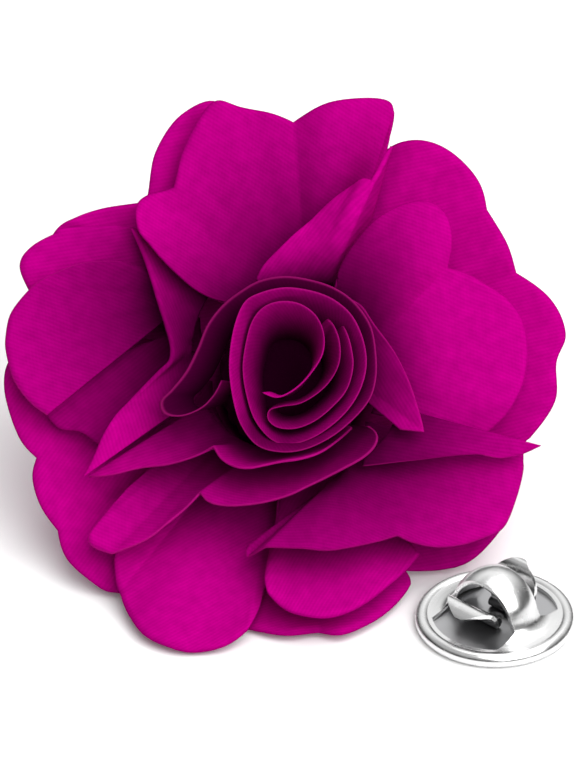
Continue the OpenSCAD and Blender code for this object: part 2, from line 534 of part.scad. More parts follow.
module clutch_lever_left() {
    color("#cfcfd2") standing() rotate([0, 0, 180]) lever(lever_left_line);
}

module clutch_lever_right() { color("#cfcfd2") standing() lever(lever_right_line); }

petal_back();
petal_left_upper();
petal_left_lower();
petal_left_tuck();
petal_left();
petal_bottom_left();
petal_bottom();
petal_bottom_right();
petal_top();
petal_right();
petal_spike();
petal_leaf();
petal_front();
petal_collar_lower();
petal_collar_right();
petal_top_fold();
sewn_core();
rosette_coil();
rosette_heart();
pin_post();
clutch_cover();
clutch_plate();
clutch_lever_left();
clutch_lever_right();
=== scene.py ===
import json
import math
from functools import partialmethod
from itertools import pairwise

import bmesh
import bpy
import numpy as np
from bpy.props import FloatProperty, FloatVectorProperty, PointerProperty
from mathutils import Matrix, Vector


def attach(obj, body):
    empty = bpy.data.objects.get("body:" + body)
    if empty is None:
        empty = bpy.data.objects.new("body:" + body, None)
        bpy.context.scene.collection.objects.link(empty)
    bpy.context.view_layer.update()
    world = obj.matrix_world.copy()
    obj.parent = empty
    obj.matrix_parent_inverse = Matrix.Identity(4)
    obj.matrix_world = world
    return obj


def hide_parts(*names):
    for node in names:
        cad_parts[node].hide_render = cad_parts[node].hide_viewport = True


bl_info = {
    "name": "Flower lapel pin",
    "version": (1, 0, 0),
    "blender": (4, 5, 0),
    "location": "3D View > Sidebar > Flower pin",
    "description": "Dresses a cloth flower pin and its clutch round their packed solids",
    "category": "Object",
}

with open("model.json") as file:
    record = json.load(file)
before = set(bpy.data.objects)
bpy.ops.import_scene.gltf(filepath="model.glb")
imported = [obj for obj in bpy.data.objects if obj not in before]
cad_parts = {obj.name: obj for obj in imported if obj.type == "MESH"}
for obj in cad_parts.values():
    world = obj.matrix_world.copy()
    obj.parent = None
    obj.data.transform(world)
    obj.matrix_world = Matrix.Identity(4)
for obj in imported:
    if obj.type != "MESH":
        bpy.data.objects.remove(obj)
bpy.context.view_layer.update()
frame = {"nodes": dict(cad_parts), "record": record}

MM = 0.001
BODY = "pin"


def mount(name):
    """Place and axis of a stated mount, in the row frame."""
    found = next(m for m in frame["record"]["mounts"] if m["name"] == name)
    return Vector(found["pos_m"]), Vector(found["axis"])


# The post's mount lies this far behind the flower's middle, along the post.
POST_MOUNT_BACK = 5 * MM
POST_MIDDLE, POST_AXIS = mount("pin_post")
LEAN = math.atan2(POST_AXIS.y, -POST_AXIS.z)
FLOWER_MIDDLE = POST_MIDDLE - POST_AXIS * POST_MOUNT_BACK
FLOWER_TO_ROW = Matrix.Translation(FLOWER_MIDDLE) @ Matrix.Rotation(LEAN, 4, "X")

CLUTCH_HOLE, _ = mount("clutch_hole")
CLUTCH_TURN = math.radians(49)
CLUTCH_TO_ROW = (
    Matrix.Translation((CLUTCH_HOLE.x, CLUTCH_HOLE.y, 0)) @ Matrix.Rotation(CLUTCH_TURN, 4, "Z")
)

# The photo's frame at the flower: scale, height in pixels, and how many pixels the
# flower's middle shows right of the frame's middle and below it. The camera looks at a
# point this far in front of the flower's middle.
PIXELS_PER_MM = 13.3
PHOTO_HEIGHT = 768
SHOWN_AT = Vector((4, 8))
AIM_IN_FRONT = 5 * MM
SENSOR_WIDTH = 36

# Parts between two rows of an edge, steps from a petal's root to its edge, and the column
# of an edge's row that holds its crease.
RIB_PARTS = 8
RIB_STEPS = 26
CREASE = 4
# How far from the gathers the painted shade darkens the cloth, in mm, unless a petal says
# otherwise, and the value of "shade_from_gather" at which the painted shade is darkest.
SHADE_REACH = 8.5
DARKEST = -2.0
# Beside the rosette painted shade darkens the cloth more: there "shade_from_gather" is 0 at
# this reach from the flower's axis, and grows at this rate.
SHADE_START = 5.6
SHADE_RATE = 5

# Petals, in millimetres in the flower's own frame: across, up in its plane, rise towards
# the viewer. "root" is the line where a petal is gathered, from [turn in degrees, reach,
# rise] to the same. Each row of "edge" is [across, up, rise, belly, crease], the last two
# being 0 where they are left out: belly is how far the middle of the rib bulges, and
# crease is 1 at a sharp notch. "grain" is the turn of the twill lines. "hem" is how far a
# folded edge is turned under, and an edge without it is cut. "lit" is how much a cut edge
# catches the light, "tuck" how far its first and last end dip and round off, and "deep"
# how far from the gathers the painted shade darkens the cloth, from the first end to the last.
PETALS = {
    "petal_back": dict(closed=True, grain=12, root=[[0, 4, 1], [360, 4, 1]], edge=[
        [17.9, -4.3, 3.6, 0, 1], [19.8, -1.6, 4.4, 0.3], [19.9, 1.3, 4.6, 0.4],
        [20.6, 3.5, 4.8, 0.4], [19.5, 6.1, 4.8, 0.3], [16.9, 8.3, 4.2, 0, 1],
        [16.2, 10.4, 4.8, 0.3], [14.7, 13.1, 4.5, 0.1, 1], [14, 15.3, 5, 0.3],
        [11.9, 17.5, 5.2, 0.4], [9.6, 18.3, 5.2, 0.4], [7.5, 18, 4.3, 0.1], [6, 16.4, 3.3, 0, 1],
        [2.9, 19.2, 4.2, 0.3], [-0.9, 18.9, 4, 0.3], [-3.9, 17.8, 3.8, 0, 1],
        [-5.6, 21.3, 4.8, 0.2], [-8.4, 20.3, 5, 0.4], [-10.3, 17.4, 5, 0.4],
        [-10.9, 14.2, 4.6, 0.2], [-11.4, 13.7, 4.2, 0, 1], [-14.4, 13.2, 4.4, 0.2],
        [-16.3, 12.5, 4.4, 0.3], [-17.8, 11.6, 4.2, 0.2], [-18.9, 9.2, 3.6, -0.1, 1],
        [-19.7, 4.7, 3.7, -0.1], [-19.3, 0.2, 3.4, -0.2], [-18.2, -3.6, 3, -0.3, 1],
        [-17.4, -8.2, 3.1, -0.3], [-15.6, -12.1, 3.3, -0.3], [-11.8, -14, 3.3, -0.4, 1],
        [-8.4, -17.2, 5.6, -0.5], [-5, -18.5, 6.9, -0.7], [-3.3, -19.8, 8, -1, 1],
        [-0.5, -20.5, 9, -1], [2, -20.2, 8.8, -1, 0.6], [4, -20.4, 9, -1], [7, -18.5, 7.4, -0.8],
        [8.9, -15.9, 5.2, -0.4, 0.4], [8.3, -14.5, 3.9, -0.2, 1], [11.1, -14.4, 3.5],
        [13.4, -13.7, 3.5, 0.1], [15.6, -11.5, 3.7, 0.2], [16.8, -9.1, 3.9, 0.2],
        [17.4, -6.8, 4, 0.2], [17.3, -5.1, 3.6],
    ]),
    "petal_left_upper": dict(grain=10, deep=[16], root=[[145, 8.5, 3.5], [162, 6.5, 3.2]], edge=[
        [-11.6, 11.4, 5, 0.2, 0.6], [-12.6, 11.6, 5.5, 0.3], [-14.4, 11.6, 5.7, 0.4],
        [-17.3, 11.4, 5.6, 0.4], [-17.8, 11, 5.6, 0.3, 1], [-19.7, 9.9, 5.8, 0.4],
        [-20.5, 8.5, 5.8, 0.4], [-19.8, 6.6, 5.5, 0.2, 0.5], [-18.9, 5.2, 5.2, 0.2],
    ]),
    "petal_left_lower": dict(grain=55, deep=[9.5], root=[[178, 6, 2.9], [232, 6, 2.7]], edge=[
        [-20.9, 2.1, 5.1, 0.1], [-21.6, 0.4, 5.2, 0.2], [-21.5, -1.7, 5.2, 0.2],
        [-20.5, -4.6, 5.1, 0.2], [-19.2, -6.1, 4.9, 0.1, 1], [-19.5, -7.7, 5.1, 0.2],
        [-18.9, -9.8, 5.1, 0.1], [-17.6, -11.6, 4.7, -0.5, 1], [-16.8, -14, 5],
        [-14.4, -16.1, 5.1, 0.2], [-12.9, -16.5, 5.1, 0.1],
    ]),
    "petal_left_tuck": dict(grain=40, deep=[22], root=[[152, 8.5, 5], [196, 8, 5.2]], edge=[
        [-16.1, 0.6, 5.9], [-18.4, -3.1, 6.1, 0, 1], [-17.4, -4.1, 6.1], [-15.9, -4.4, 6.3],
        [-14.6, -5.3, 6.3], [-13.3, -6.2, 6.2],
    ]),
    "petal_left": dict(
        grain=160, lit=0.4, deep=[17], root=[[139, 11.3, 5.6], [154, 10.2, 6.2]], edge=[
        [-12.8, 8.5, 7, 0.2], [-14.4, 8.5, 7.2, 0.4], [-16.3, 8.2, 7.3, 0.4],
        [-18.6, 7.2, 7.2, 0.4], [-19.8, 6.3, 7.1, 0.3, 0.6], [-21.1, 4.6, 7.2, 0.4],
        [-21.5, 2.9, 7.2, 0.4], [-21.5, 1.6, 7.1, 0.3], [-20.9, -0.6, 7.2, 0.3],
        [-19.7, -2.3, 7.3, 0.2], [-18.4, -3.4, 7.5, 0.2],
    ]),
    "petal_bottom_left": dict(grain=30, deep=[13], root=[[218, 6, 4.4], [268, 6, 2.9]], edge=[
        [-12.9, -12.8, 6.1], [-13.3, -13.9, 6.3], [-13.2, -15.8, 6.4, 0.1],
        [-12.9, -16.8, 6.6, 0, 1], [-12.3, -18.6, 7.8], [-11.1, -20.5, 9.2, -0.2],
        [-9.2, -21.6, 10, -0.4], [-7.3, -22, 10.1, -0.4], [-5, -21.5, 9.9, -0.4],
        [-3.3, -20.2, 9.8, -0.5, 1], [-2.3, -17.7, 8, -0.5], [-2, -14.2, 6, -0.2],
    ]),
    "petal_bottom": dict(grain=65, deep=[13], root=[[262, 6.2, 4.4], [300, 6.2, 4.2]], edge=[
        [-1.1, -11.2, 6.6], [-1.5, -13.3, 7.3], [-2, -16, 9, -0.1], [-1.8, -17.5, 10.1, -0.3, 0.6],
        [-0.2, -19, 10.6, -0.4], [2.1, -19.5, 10.6, -0.4], [4, -19.1, 10.3, -0.4],
        [6, -17.8, 9.4, -0.3], [8.1, -15.7, 7.6, -0.2], [9.6, -13.9, 6.6],
    ]),
    "petal_bottom_right": dict(
        grain=-14, lit=0.2, deep=[18, 18, 17, 15], tuck=[1.5, 0],
        root=[[289, 9, 7.9], [328, 6.5, 5.4]], edge=[
        [-4.1, -14.3, 9.6, 0.3, 1], [-3.6, -14.7, 9.4], [-3.1, -14.5, 9.4, -0.3],
        [-2, -14.2, 11, 0.3, 1], [0.6, -14.4, 11.6, 0.6], [2.5, -14.6, 11.7, 0.6],
        [4.4, -14.3, 11.4, 0.6], [6.6, -13.6, 10.5, 0.4], [7.9, -13.1, 9.8, 0.2, 0.7],
        [9, -13.5, 9.4, 0.3], [10.8, -13.7, 8.6, 0.4], [12.6, -13.4, 7.8, 0.4],
        [14.4, -12.7, 7, 0.3], [15.9, -11.7, 6.4, 0.2], [16.8, -9.6, 6, 0.1], [17.3, -7.6, 5.8],
        [17.4, -5.8, 5.5],
    ]),
    "petal_top": dict(
        grain=-32, deep=[20, 18, 12, 13], tuck=[0, 0.7],
        root=[[58, 6, 3.2], [128, 6.6, 7.9]], edge=[
        [5.7, 14.1, 4.9], [7.1, 17.4, 5.5], [7.7, 20.3, 5.7, 0.1, 0.7], [7.1, 21.2, 6.2, 0.4],
        [5, 21, 7.6, 0.9], [2.5, 20.5, 7.9, 0.9], [0.1, 19.3, 6.9, 0.5, 1], [-1.7, 20, 7, 0.5],
        [-3.9, 20.5, 6.9, 0.4], [-5.6, 21, 6.8, 0.4], [-6.7, 20.1, 6.6, 0.3, 0.6],
        [-8.2, 17.3, 6.3, 0.2], [-8.9, 14.4, 6.2, 0.1, 0.7], [-10.7, 13.9, 6.3, 0.1, 0.5],
        [-11.7, 12.9, 6.8, 0.2], [-11.6, 10.9, 7.9, 0.1], [-10.7, 9.5, 8.7], [-9.3, 7.8, 9.1, -0.1],
        [-7.7, 6.3, 9, -0.2], [-6.3, 5.5, 8.8, -0.2], [-5, 5.1, 8.6, -0.1],
    ]),
    "petal_right": dict(
        grain=-22, deep=[6, 6, 7, 14, 19], root=[[-24, 6.5, 4.8], [64, 6.5, 8.2]], edge=[
        [14.1, -4.9, 5.8], [15.3, -3.9, 6.4, 0.2], [16.5, -2.6, 6.8, 0.3], [17.4, -0.7, 7.1, 0.5],
        [17.7, 1.7, 7.3, 0.6], [17.3, 4, 7.3, 0.6], [16, 5.8, 7.2, 0.5, 0.6], [14.5, 6.8, 7.2, 0.4],
        [13, 7.6, 7.2, 0.3], [11.7, 8, 7.4, 0.2, 0.8], [12, 9.4, 8, 0.5], [11.9, 11, 8.5, 0.8],
        [11.1, 12.3, 8.9, 0.9], [9.6, 12.7, 9.3, 1], [7.7, 12.1, 9.6, 0.9], [5.9, 10.8, 9.7, 0.8],
        [4.4, 8.9, 9.6, 0.6], [3.6, 7.4, 9.4, 0.4], [3.3, 6, 9.2, 0.2],
    ]),
    "petal_spike": dict(
        grain=-8, lit=0.3, deep=[14], root=[[-52, 8.8, 8.8], [-20, 8.6, 7.9]], edge=[
        [5.3, -7.5, 8.7], [6.6, -7.4, 8.7, 0.1], [8.1, -7.2, 8.6, 0.3], [11.1, -6.7, 8.1, 0.4],
        [13.8, -6.4, 7.6, 0.3], [15.6, -6.6, 7.2, 0.2], [17.4, -6.2, 7, 0.1, 0.4],
        [18.7, -5.6, 6.9, 0, 1],
    ]),
    "petal_leaf": dict(grain=110, hem=1, root=[[138, 8.5, 7.3], [195, 7, 8.3]], edge=[
        [-12, 11.1, 6.6, -0.1, 1], [-11.2, 9.4, 7.3], [-10.5, 7.3, 8.1, -0.1],
        [-9.9, 5.2, 8.8, -0.2], [-9.3, 3.2, 9.3, -0.2], [-8.9, 1.6, 9.5, -0.2], [-9, 0.3, 9.4],
        [-9.9, -0.6, 9.2], [-11.4, -2, 9, 0.2], [-12.9, -3.4, 8.9, 0.3], [-13.8, -4.8, 8.9, 0.3],
        [-14.7, -6.7, 8.6, 0.3], [-15.5, -8.2, 8.4, 0, 1],
    ]),
    "petal_front": dict(
        grain=-25, lit=0.4, deep=[13, 13, 13, 24], root=[[206, 6.5, 6], [318, 5.8, 6.1]], edge=[
        [-12.3, -8.7, 6.3], [-14.1, -10.9, 6.7], [-15.3, -12.9, 7, 0.1], [-13.5, -14, 7.6, 0.1, 1],
        [-11.1, -13.2, 8.4, 0.3], [-9.5, -12.1, 9, 0.4], [-8, -10.9, 9.5, 0.4],
        [-6.9, -9.8, 9.8, 0.3, 1], [-6.2, -10.6, 10.2, 0.4], [-5, -10.9, 10.4, 0.5],
        [-3.5, -10.9, 10.6, 0.5], [-2, -10.7, 10.7, 0.5], [-0.2, -10.2, 10.8, 0.4],
        [1.4, -9.4, 10.8, 0.3], [4, -8.1, 10.8, 0.2], [5.3, -7.3, 10.7, 0.1],
        [6.1, -6.5, 10.5, 0.1], [6.4, -5.7, 10.1], [6.2, -5, 9.5], [5.7, -4.5, 8.8],
    ]),
    "petal_collar_lower": dict(grain=15, lit=0.3, root=[[200, 7, 7.2], [312, 5.6, 8.3]], edge=[
        [-15.3, -8, 7.1, 0, 1], [-13.7, -8, 7.6, 0.1], [-11.4, -7.6, 8.4, 0.2],
        [-9.2, -7.5, 9.2, 0.2], [-6.9, -6.9, 10.2, 0.2], [-5.9, -6.5, 10.9, 0.1, 0.7],
        [-5.3, -7.5, 11.3, 0.1], [-4.3, -8.2, 11.8, 0.1], [-3.2, -8.4, 12.2, 0.1],
        [-2, -8.2, 12.4, 0.1], [-0.9, -8, 12.5, 0.1], [0.6, -7.8, 12.5, 0.1], [2.1, -7.2, 12.2],
        [3.6, -5.9, 11], [4.5, -4.8, 9.6],
    ]),
    "petal_collar_right": dict(grain=120, lit=0.25, root=[[-20, 5, 8.3], [46, 5, 8.6]], edge=[
        [8.1, -4.9, 9.6], [9.9, -5.1, 9.6, 0.1, 1], [9.5, -3.5, 9.9, 0.2], [8.7, -1.2, 10.2, 0.2],
        [7.7, 0.9, 10.2, 0.2], [6.2, 3, 10, 0.1], [5.3, 4.4, 9.9], [4.5, 5, 9.8],
    ]),
    "petal_top_fold": dict(grain=50, hem=0.6, deep=[4], root=[[55, 7.6, 6.6], [114, 6, 8.1]], edge=[
        [7.5, 17.2, 7.6, 0.2, 1], [6.9, 15.5, 9.2, 0.5], [6.1, 13.7, 10.6, 0.9, 1],
        [5.3, 14, 10.6, 1.1], [4.4, 13.6, 9.8, 0.9], [2.9, 12.6, 9.2, 0.6], [1.4, 11.2, 8.9, 0.4],
        [-0.2, 9.7, 8.8, 0.2], [-1.7, 8.1, 8.9, 0.1], [-2.6, 6.7, 9],
    ]),
}

# The way the rims of the two rolled strips wind, from the heart outwards, in the same
# frame: across, up, rise.
ROSETTE_RIMS = {
    "rosette_coil": [
        [-2.3, -2.5, 11.6], [-1.1, -2.9, 11.7], [0.2, -2.3, 11.8], [1.4, -1.1, 11.9],
        [2.3, 0.4, 12], [2.4, 1.9, 12.1], [1.8, 3.3, 12.1], [0.6, 4.2, 12.1], [-0.8, 4.4, 12.1],
        [-2.1, 4, 12], [-3, 2.9, 11.9], [-3.5, 1.1, 11.8], [-3.7, -0.8, 11.7], [-3.4, -2.8, 11.6],
        [-2.8, -4.6, 11.6], [-1.7, -6, 11.6], [-0.5, -6.5, 11.6], [1.1, -6.2, 11.7],
        [2.7, -5.3, 11.8], [4.2, -3.9, 11.9], [5.2, -2.2, 12], [5.6, -0.3, 12], [5.3, 1.6, 12.1],
        [4.5, 3.3, 12.1], [3.3, 4.4, 12.2], [2, 5, 12.3], [0.5, 5.3, 12.5], [-0.8, 5.3, 12.7],
        [-2.3, 4.9, 12.9], [-3.5, 4.2, 13], [-4.2, 2.7, 13.1], [-4.6, 0.8, 13.1], [-4.7, -1.2, 13],
        [-4.4, -3.4, 12.9], [-3.8, -5.3, 12.8], [-2.6, -6.8, 12.7], [-0.9, -7.3, 12.7],
        [0.9, -7.1, 12.6], [2.8, -6.2, 12.5], [4.5, -4.8, 12.3], [5.8, -3.2, 12.2], [6.3, -1.5, 12],
        [6.3, 0.5, 11.9], [5.9, 2.6, 11.8], [4.7, 4.4, 11.7], [3.2, 5.5, 11.7], [1.5, 6.1, 11.7],
        [-0.5, 6.4, 11.7], [-2.4, 6.1, 11.6], [-3.9, 5.3, 11.4], [-5.3, 4.2, 11.2],
        [-6.4, 2.7, 11.2], [-7.1, 1, 11.1], [-8, -0.8, 11], [-9.1, -2.2, 11], [-9.9, -3.1, 11],
        [-9.6, -4, 11], [-8.4, -4.2, 11], [-6.9, -3.6, 11.1], [-5.9, -2.6, 11.2],
        [-5.3, -1.5, 11.3],
    ],
    "rosette_heart": [
        [2.3, 3.9, 9.6], [3.1, 2.8, 11.2], [3.6, 1.3, 11.6], [3.5, -0.4, 11.5], [2.5, -2, 11.4],
        [0.8, -3.2, 11.3], [-0.8, -3.5, 11.2], [-1.7, -3.8, 11.2], [-1.8, -4.5, 11.2],
        [-1.1, -5.1, 11.2], [0.2, -5.2, 11.2], [1.6, -4.7, 11.3], [2.9, -3.7, 11.4],
        [4.1, -2.3, 11.5], [4.6, -0.5, 11.6], [4.4, 1.2, 11.7], [3.95, 2.55, 11.2],
        [3.45, 3.35, 9.6],
    ],
}

# Half section of the sewn core, in the same frame: out, height.
CORE_LINE = [
    [0, 1.8], [3.8, 1.8], [5.3, 2.4], [5.3, 7], [4.65, 7.4], [4.4, 7.4], [4.3, 6],
    [2.1, 5.3], [0, 5],
]

# Clutch, in millimetres: half section of the cover from the middle of the dome down to the
# dish inside the rolled rim, as out, height.
COVER_LINE = [
    [0, 4.8], [0.7, 4.73], [1.4, 4.48], [2, 4.1], [2.5, 3.6], [2.9, 3], [3.15, 2.4],
    [3.35, 1.85], [3.6, 1.4], [4, 1.12], [4.5, 1.03], [4.8, 1.0], [4.98, 0.99],
]
# Inside of the rolled rim: its wall, and how far in from the rim's middle its foot turns.
RIM_WALL = 0.32
RIM_FOOT = 0.4
# Each window is a lying cylinder about this height, cut off below at the other.
WINDOW_MIDDLE = 1.35 * MM
WINDOW_FOOT = 0.7 * MM
# Side line of each lever from its pivot outwards: out, height, half width.
LEVER_LINES = {
    "clutch_lever_left": [
        [1, 1.13, 1.2], [1.5, 1.2, 1.6], [1.95, 1.7, 1.95], [2.3, 2.35, 2.1], [2.65, 2.9, 2.1],
        [3.1, 3.2, 2.05], [3.6, 3.2, 1.75], [4, 3, 1.3], [4.25, 2.75, 0.8],
    ],
    "clutch_lever_right": [
        [1, 1.13, 1.2], [1.5, 1.2, 1.6], [1.9, 1.7, 1.95], [2.15, 2.4, 2.1], [2.35, 3.1, 2],
        [2.55, 3.7, 1.65], [2.85, 4.1, 1.15], [3.25, 4.1, 0.6],
    ],
}
# Body and turn of each lever, and the radius of its rolled inner end.
LEVER_PLACES = {
    "clutch_lever_left": ("lever_left", math.pi),
    "clutch_lever_right": ("lever_right", 0),
}
LEVER_ROLL = 0.25
# The dome's inner side above the first height, and the levers below the second, are of a
# rougher metal painted darker, painted shade for these recesses.
DOME_SHADE = 1.1 * MM
LEVER_SHADE = 2.3 * MM

# Metals: the setting that holds the colour, the roughness and what marks add to it.
METALS = {
    "Bright plating": ("plating", 0.2, 0.12),
    # Painted shade: a rougher metal with the much darker "inside" colour, for recesses.
    "Painted shade inside": ("inside", 0.3, 0.15),
    "Plain steel": ("steel", 0.3, 0.15),
}


def length(name, description, mm):
    """A size as a setting, with its default in millimetres."""
    return FloatProperty(
        name=name, description=description, default=mm * MM, unit="LENGTH", precision=5
    )


def colour(name, description, value):
    """A colour as a setting."""
    return FloatVectorProperty(
        name=name, description=description, default=value, subtype="COLOR", min=0, max=1
    )


def number(name, description, value, **limits):
    """A plain number as a setting."""
    return FloatProperty(name=name, description=description, default=value, **limits)


class FlowerPinCloth(bpy.types.PropertyGroup):
    """Sizes and colours of the cloth."""

    thickness: length("Cloth thickness", "Thickness of one layer of cloth", 0.16)
    twill: length("Twill spacing", "Distance from one diagonal line to the next", 0.285)
    fold_radius: length("Fold radius", "Radius of a folded edge, to the middle of the cloth", 0.11)
    ruffle: length("Ruffle", "Height of the soft waves along a free edge", 0.14)
    gather: length("Gathers", "Height of the small pleats at a gathered line", 0.12)
    light: colour("Light yarn", "Colour of the raised yarns", (0.4, 0, 0.182))
    deep: colour("Deep yarn", "Colour between the yarns", (0.315, 0, 0.143))
    # Painted shade: the colour the cloth is darkened to deep in its gathers, beside the rosette and
    # in the core, standing in for the shade there.
    hollow: colour("Gathered cloth", "Colour deep in the gathers", (0.016, 0, 0.008))
    cut: colour("Lit edge", "Colour of a cut edge that catches the light", (0.5, 0.02, 0.2))
    burnt: colour("Sealed edge", "Colour of the heat-sealed outer edge", (0.2, 0, 0.085))


class FlowerPinRosette(bpy.types.PropertyGroup):
    """Sizes of the rolled strips."""

    inner_foot: length("Inner foot", "Height of the foot of the inner turns", 7)
    outer_foot: length("Outer foot", "Height of the foot of the outer turns", 9.5)
    inner_share: number(
        "Inner share", "Width of the inner turns' foot by their rim's", 0.62, min=0.5, max=1
    )
    outer_share: number(
        "Outer share", "Width of the outer turns' foot by their rim's", 0.75, min=0.5, max=1
    )
    inner_reach: length("Inner reach", "How far out a turn still is an inner one", 5.2)
    outer_reach: length("Outer reach", "How far out a turn is an outer one", 6.8)
    flare: number("Flare", "How late the strip flares, 1 is a straight wall", 1.6, min=1, max=3)
    thickness: length("Strip thickness", "Thickness of the folded strip", 0.13)
    middle: FloatVectorProperty(
        name="Middle", description="Middle of the rosette in the flower's own frame",
        default=(0.1 * MM, -0.5 * MM, 0), subtype="TRANSLATION", precision=5,
    )


class FlowerPinMetal(bpy.types.PropertyGroup):
    """Sizes and colours of the clutch and post."""

    width: length("Clutch width", "Width across the rolled rim", 12)
    rim: length("Rim radius", "Radius of the rolled rim", 0.56)
    sheet: length("Sheet", "Thickness of the stamped metal", 0.3)
    window: length("Window width", "Width of each window in the dome", 6.4)
    window_reach: length("Window reach", "How far out each window reaches", 4.75)
    bridge: length("Half bridge", "Half the width of the bridge between the windows", 1.45)
    plating: colour("Plating", "Colour of the bright plating", (0.84, 0.84, 0.84))
    # Painted shade: much darker than the plating, for the cover's inside and the levers' lower
    # faces; that metal is also rougher.
    inside: colour("Inside", "Colour of the cover's duller inside", (0.2, 0.2, 0.205))
    steel: colour("Steel", "Colour of the post and the clutch's plate", (0.5, 0.5, 0.51))


class FlowerPinStage(bpy.types.PropertyGroup):
    """Floor, light and camera."""

    floor: colour("Floor", "Colour of the floor", (0.9, 0.9, 0.9))
    key: number("Key light", "Strength of the main light", 5.6)
    overhead: number("Overhead light", "Strength of the broad light above", 1.8)
    ambient: number("Ambient", "Strength of the light all round", 0.5)
    behind: number("Light behind", "Extra ambient light from behind the flower", 1.35)
    lens: number("Lens", "Focal length of the camera in mm", 900)
    elevation: number(
        "Elevation", "Height of the camera above the horizon", math.radians(34.5), subtype="ANGLE"
    )


def smooth_rows(table, parts, closed=False, crease=None):
    """The table's rows with parts - 1 more between each two, cornered where crease is 1."""
    rows = np.array(table, float)
    sharp = np.zeros(len(rows)) if crease is None else rows[:, crease]
    runs = (np.roll(rows, -1, axis=0) - np.roll(rows, 1, axis=0)) / 2
    if not closed:
        runs[0], runs[-1] = rows[1] - rows[0], rows[-1] - rows[-2]
    made = []
    for i in range(len(rows) - (not closed)):
        j = (i + 1) % len(rows)
        a, b, step = rows[i], rows[j], rows[j] - rows[i]
        start = runs[i] * (1 - sharp[i]) + (1.5 * step - 0.5 * runs[j]) * sharp[i]
        end = runs[j] * (1 - sharp[j]) + (1.5 * step - 0.5 * runs[i]) * sharp[j]
        for k in np.arange(parts) / parts:
            q, c = k * k, k**3
            made.append((2 * c - 3 * q + 1) * a + (c - 2 * q + k) * start
                        + (3 * q - 2 * c) * b + (c - q) * end)
    return np.array(made if closed else [*made, rows[-1]])


def ease(x):
    """0 below 0, 1 above 1, and smooth between."""
    x = np.clip(x, 0, 1)
    return x * x * (3 - 2 * x)


def falling_round(gone, reach):
    """1 at an end, falling round to 0 at the reach from it."""
    left = np.clip(1 - gone / reach, 0, 1)
    return 1 - np.sqrt(1 - left**2)


def unit(rows):
    """Each row as a direction of length 1."""
    return rows / np.linalg.norm(rows, axis=1, keepdims=True)


def lengths_along(points):
    """Running length along the second axis of a grid of points."""
    steps = np.linalg.norm(np.diff(points, axis=1), axis=2)
    return np.concatenate([np.zeros((len(points), 1)), np.cumsum(steps, axis=1)], axis=1)


def grid_normals(grid, closed):
    """Unit normals of a grid, pointing towards the viewer."""
    if closed:
        along = np.roll(grid, -1, axis=0) - np.roll(grid, 1, axis=0)
    else:
        along = np.gradient(grid, axis=0)
    normals = np.cross(np.gradient(grid, axis=1), along)
    return normals / np.maximum(np.linalg.norm(normals, axis=2, keepdims=True), 1e-9)


def petal_grid(spec, cloth):
    """Middle surface of a petal in metres: points, flat cloth coordinates, and the
    distances of each point from the cut edge and from the gathered line."""
    closed, hem, tuck = "closed" in spec, spec.get("hem", 0), spec.get("tuck", [0, 0])
    edge = smooth_rows([[*row, 0, 0][:5] for row in spec["edge"]], RIB_PARTS, closed, CREASE)
    first, last = np.array(spec["root"], float)
    turn, reach, rise = (first + (last - first) * np.linspace(0, 1, len(edge))[:, None]).T
    turn = np.arctan2(edge[:, 1], edge[:, 0]) if closed else np.radians(turn)
    root = np.stack([reach * np.cos(turn), reach * np.sin(turn), rise], axis=1)
    t = np.linspace(0, 1, RIB_STEPS + 1)[None, :, None]
    t = t * (1 - rounded_off(root, edge, tuck))[:, None, None]
    grid = root[:, None] * (1 - t) + edge[:, None, :3] * t
    grid[:, :, 2] += edge[:, None, 3] * (4 * t * (1 - t))[:, :, 0]
    if closed:
        # A flat disc fills the middle, out from a small face at its hub.
        hub = root * [0.05 / first[1], 0.05 / first[1], 1]
        disc = hub[:, None] + (root - hub)[:, None] * np.linspace(0, 1, 7)[None, :-1, None]
        grid = np.concatenate([disc, grid], axis=1)
    grid = grid * MM
    grid[:, :, 2] += soft_waves(grid, cloth, spec, closed)
    grid[:, :, 2] -= dip_at_ends(grid, tuck)
    if hem:
        grid = turn_under(grid, cloth, hem * MM)
    run = lengths_along(grid)
    plan = unit(grid[:, -1, :2] - grid[:, 0, :2])
    flat = grid[:, :1, :2] + plan[:, None] * run[:, :, None]
    from_edge = np.full(run.shape, 1.0) if hem else run[:, -1:] - run
    return grid, flat, from_edge, run


def soft_waves(grid, cloth, spec, closed):
    """Small pleats at the gathered line and soft waves along the free edge."""
    t = np.linspace(0, 1, grid.shape[1])[None, :]
    phase = math.radians(spec["grain"] * 7)

    def wave(long, short):
        both = np.sin(long + phase) + 0.6 * np.sin(short + 2 * phase)
        return cloth.ruffle * 0.5 * both[:, None]

    if closed:
        turns = np.linspace(0, 2 * math.pi, len(grid), endpoint=False)
        return wave(23 * turns, 37 * turns) * ease((t - 0.35) / 0.3) * t**2
    inner, outer = (lengths_along(grid[:, [k]].transpose(1, 0, 2))[0] for k in (0, -1))
    edge_wave = wave(outer / (0.95 * MM), outer / (0.61 * MM)) * ease((t - 0.2) / 0.5) * t**2
    pleat = cloth.gather * np.sin(inner / (0.23 * MM) + phase)[:, None]
    return edge_wave + pleat * ease(1 - t / 0.45) * ease(t / 0.06)


def rounded_off(root, edge, radii):
    """Share by which each rib is shortened to round the two outer corners of a petal."""
    out = np.linalg.norm(edge[:, :3] - root, axis=1)
    gone = lengths_along(edge[None, :, :3])[0]
    short = np.zeros(len(edge))
    for radius, run in zip(radii, (gone, gone[-1] - gone)):
        if radius:
            short += radius * falling_round(run, radius) / out
    return np.minimum(short, 0.8)


def dip_at_ends(grid, depths):
    """How far the first and last ribs of a petal dip, rounding its two ends."""
    dip = np.zeros(grid.shape[:2])
    for depth, way in zip(depths, (1, -1)):
        if depth:
            gone = lengths_along(grid[::way].transpose(1, 0, 2)).T
            dip += (depth * MM * falling_round(gone, 1.1 * depth * MM))[::way]
    return dip


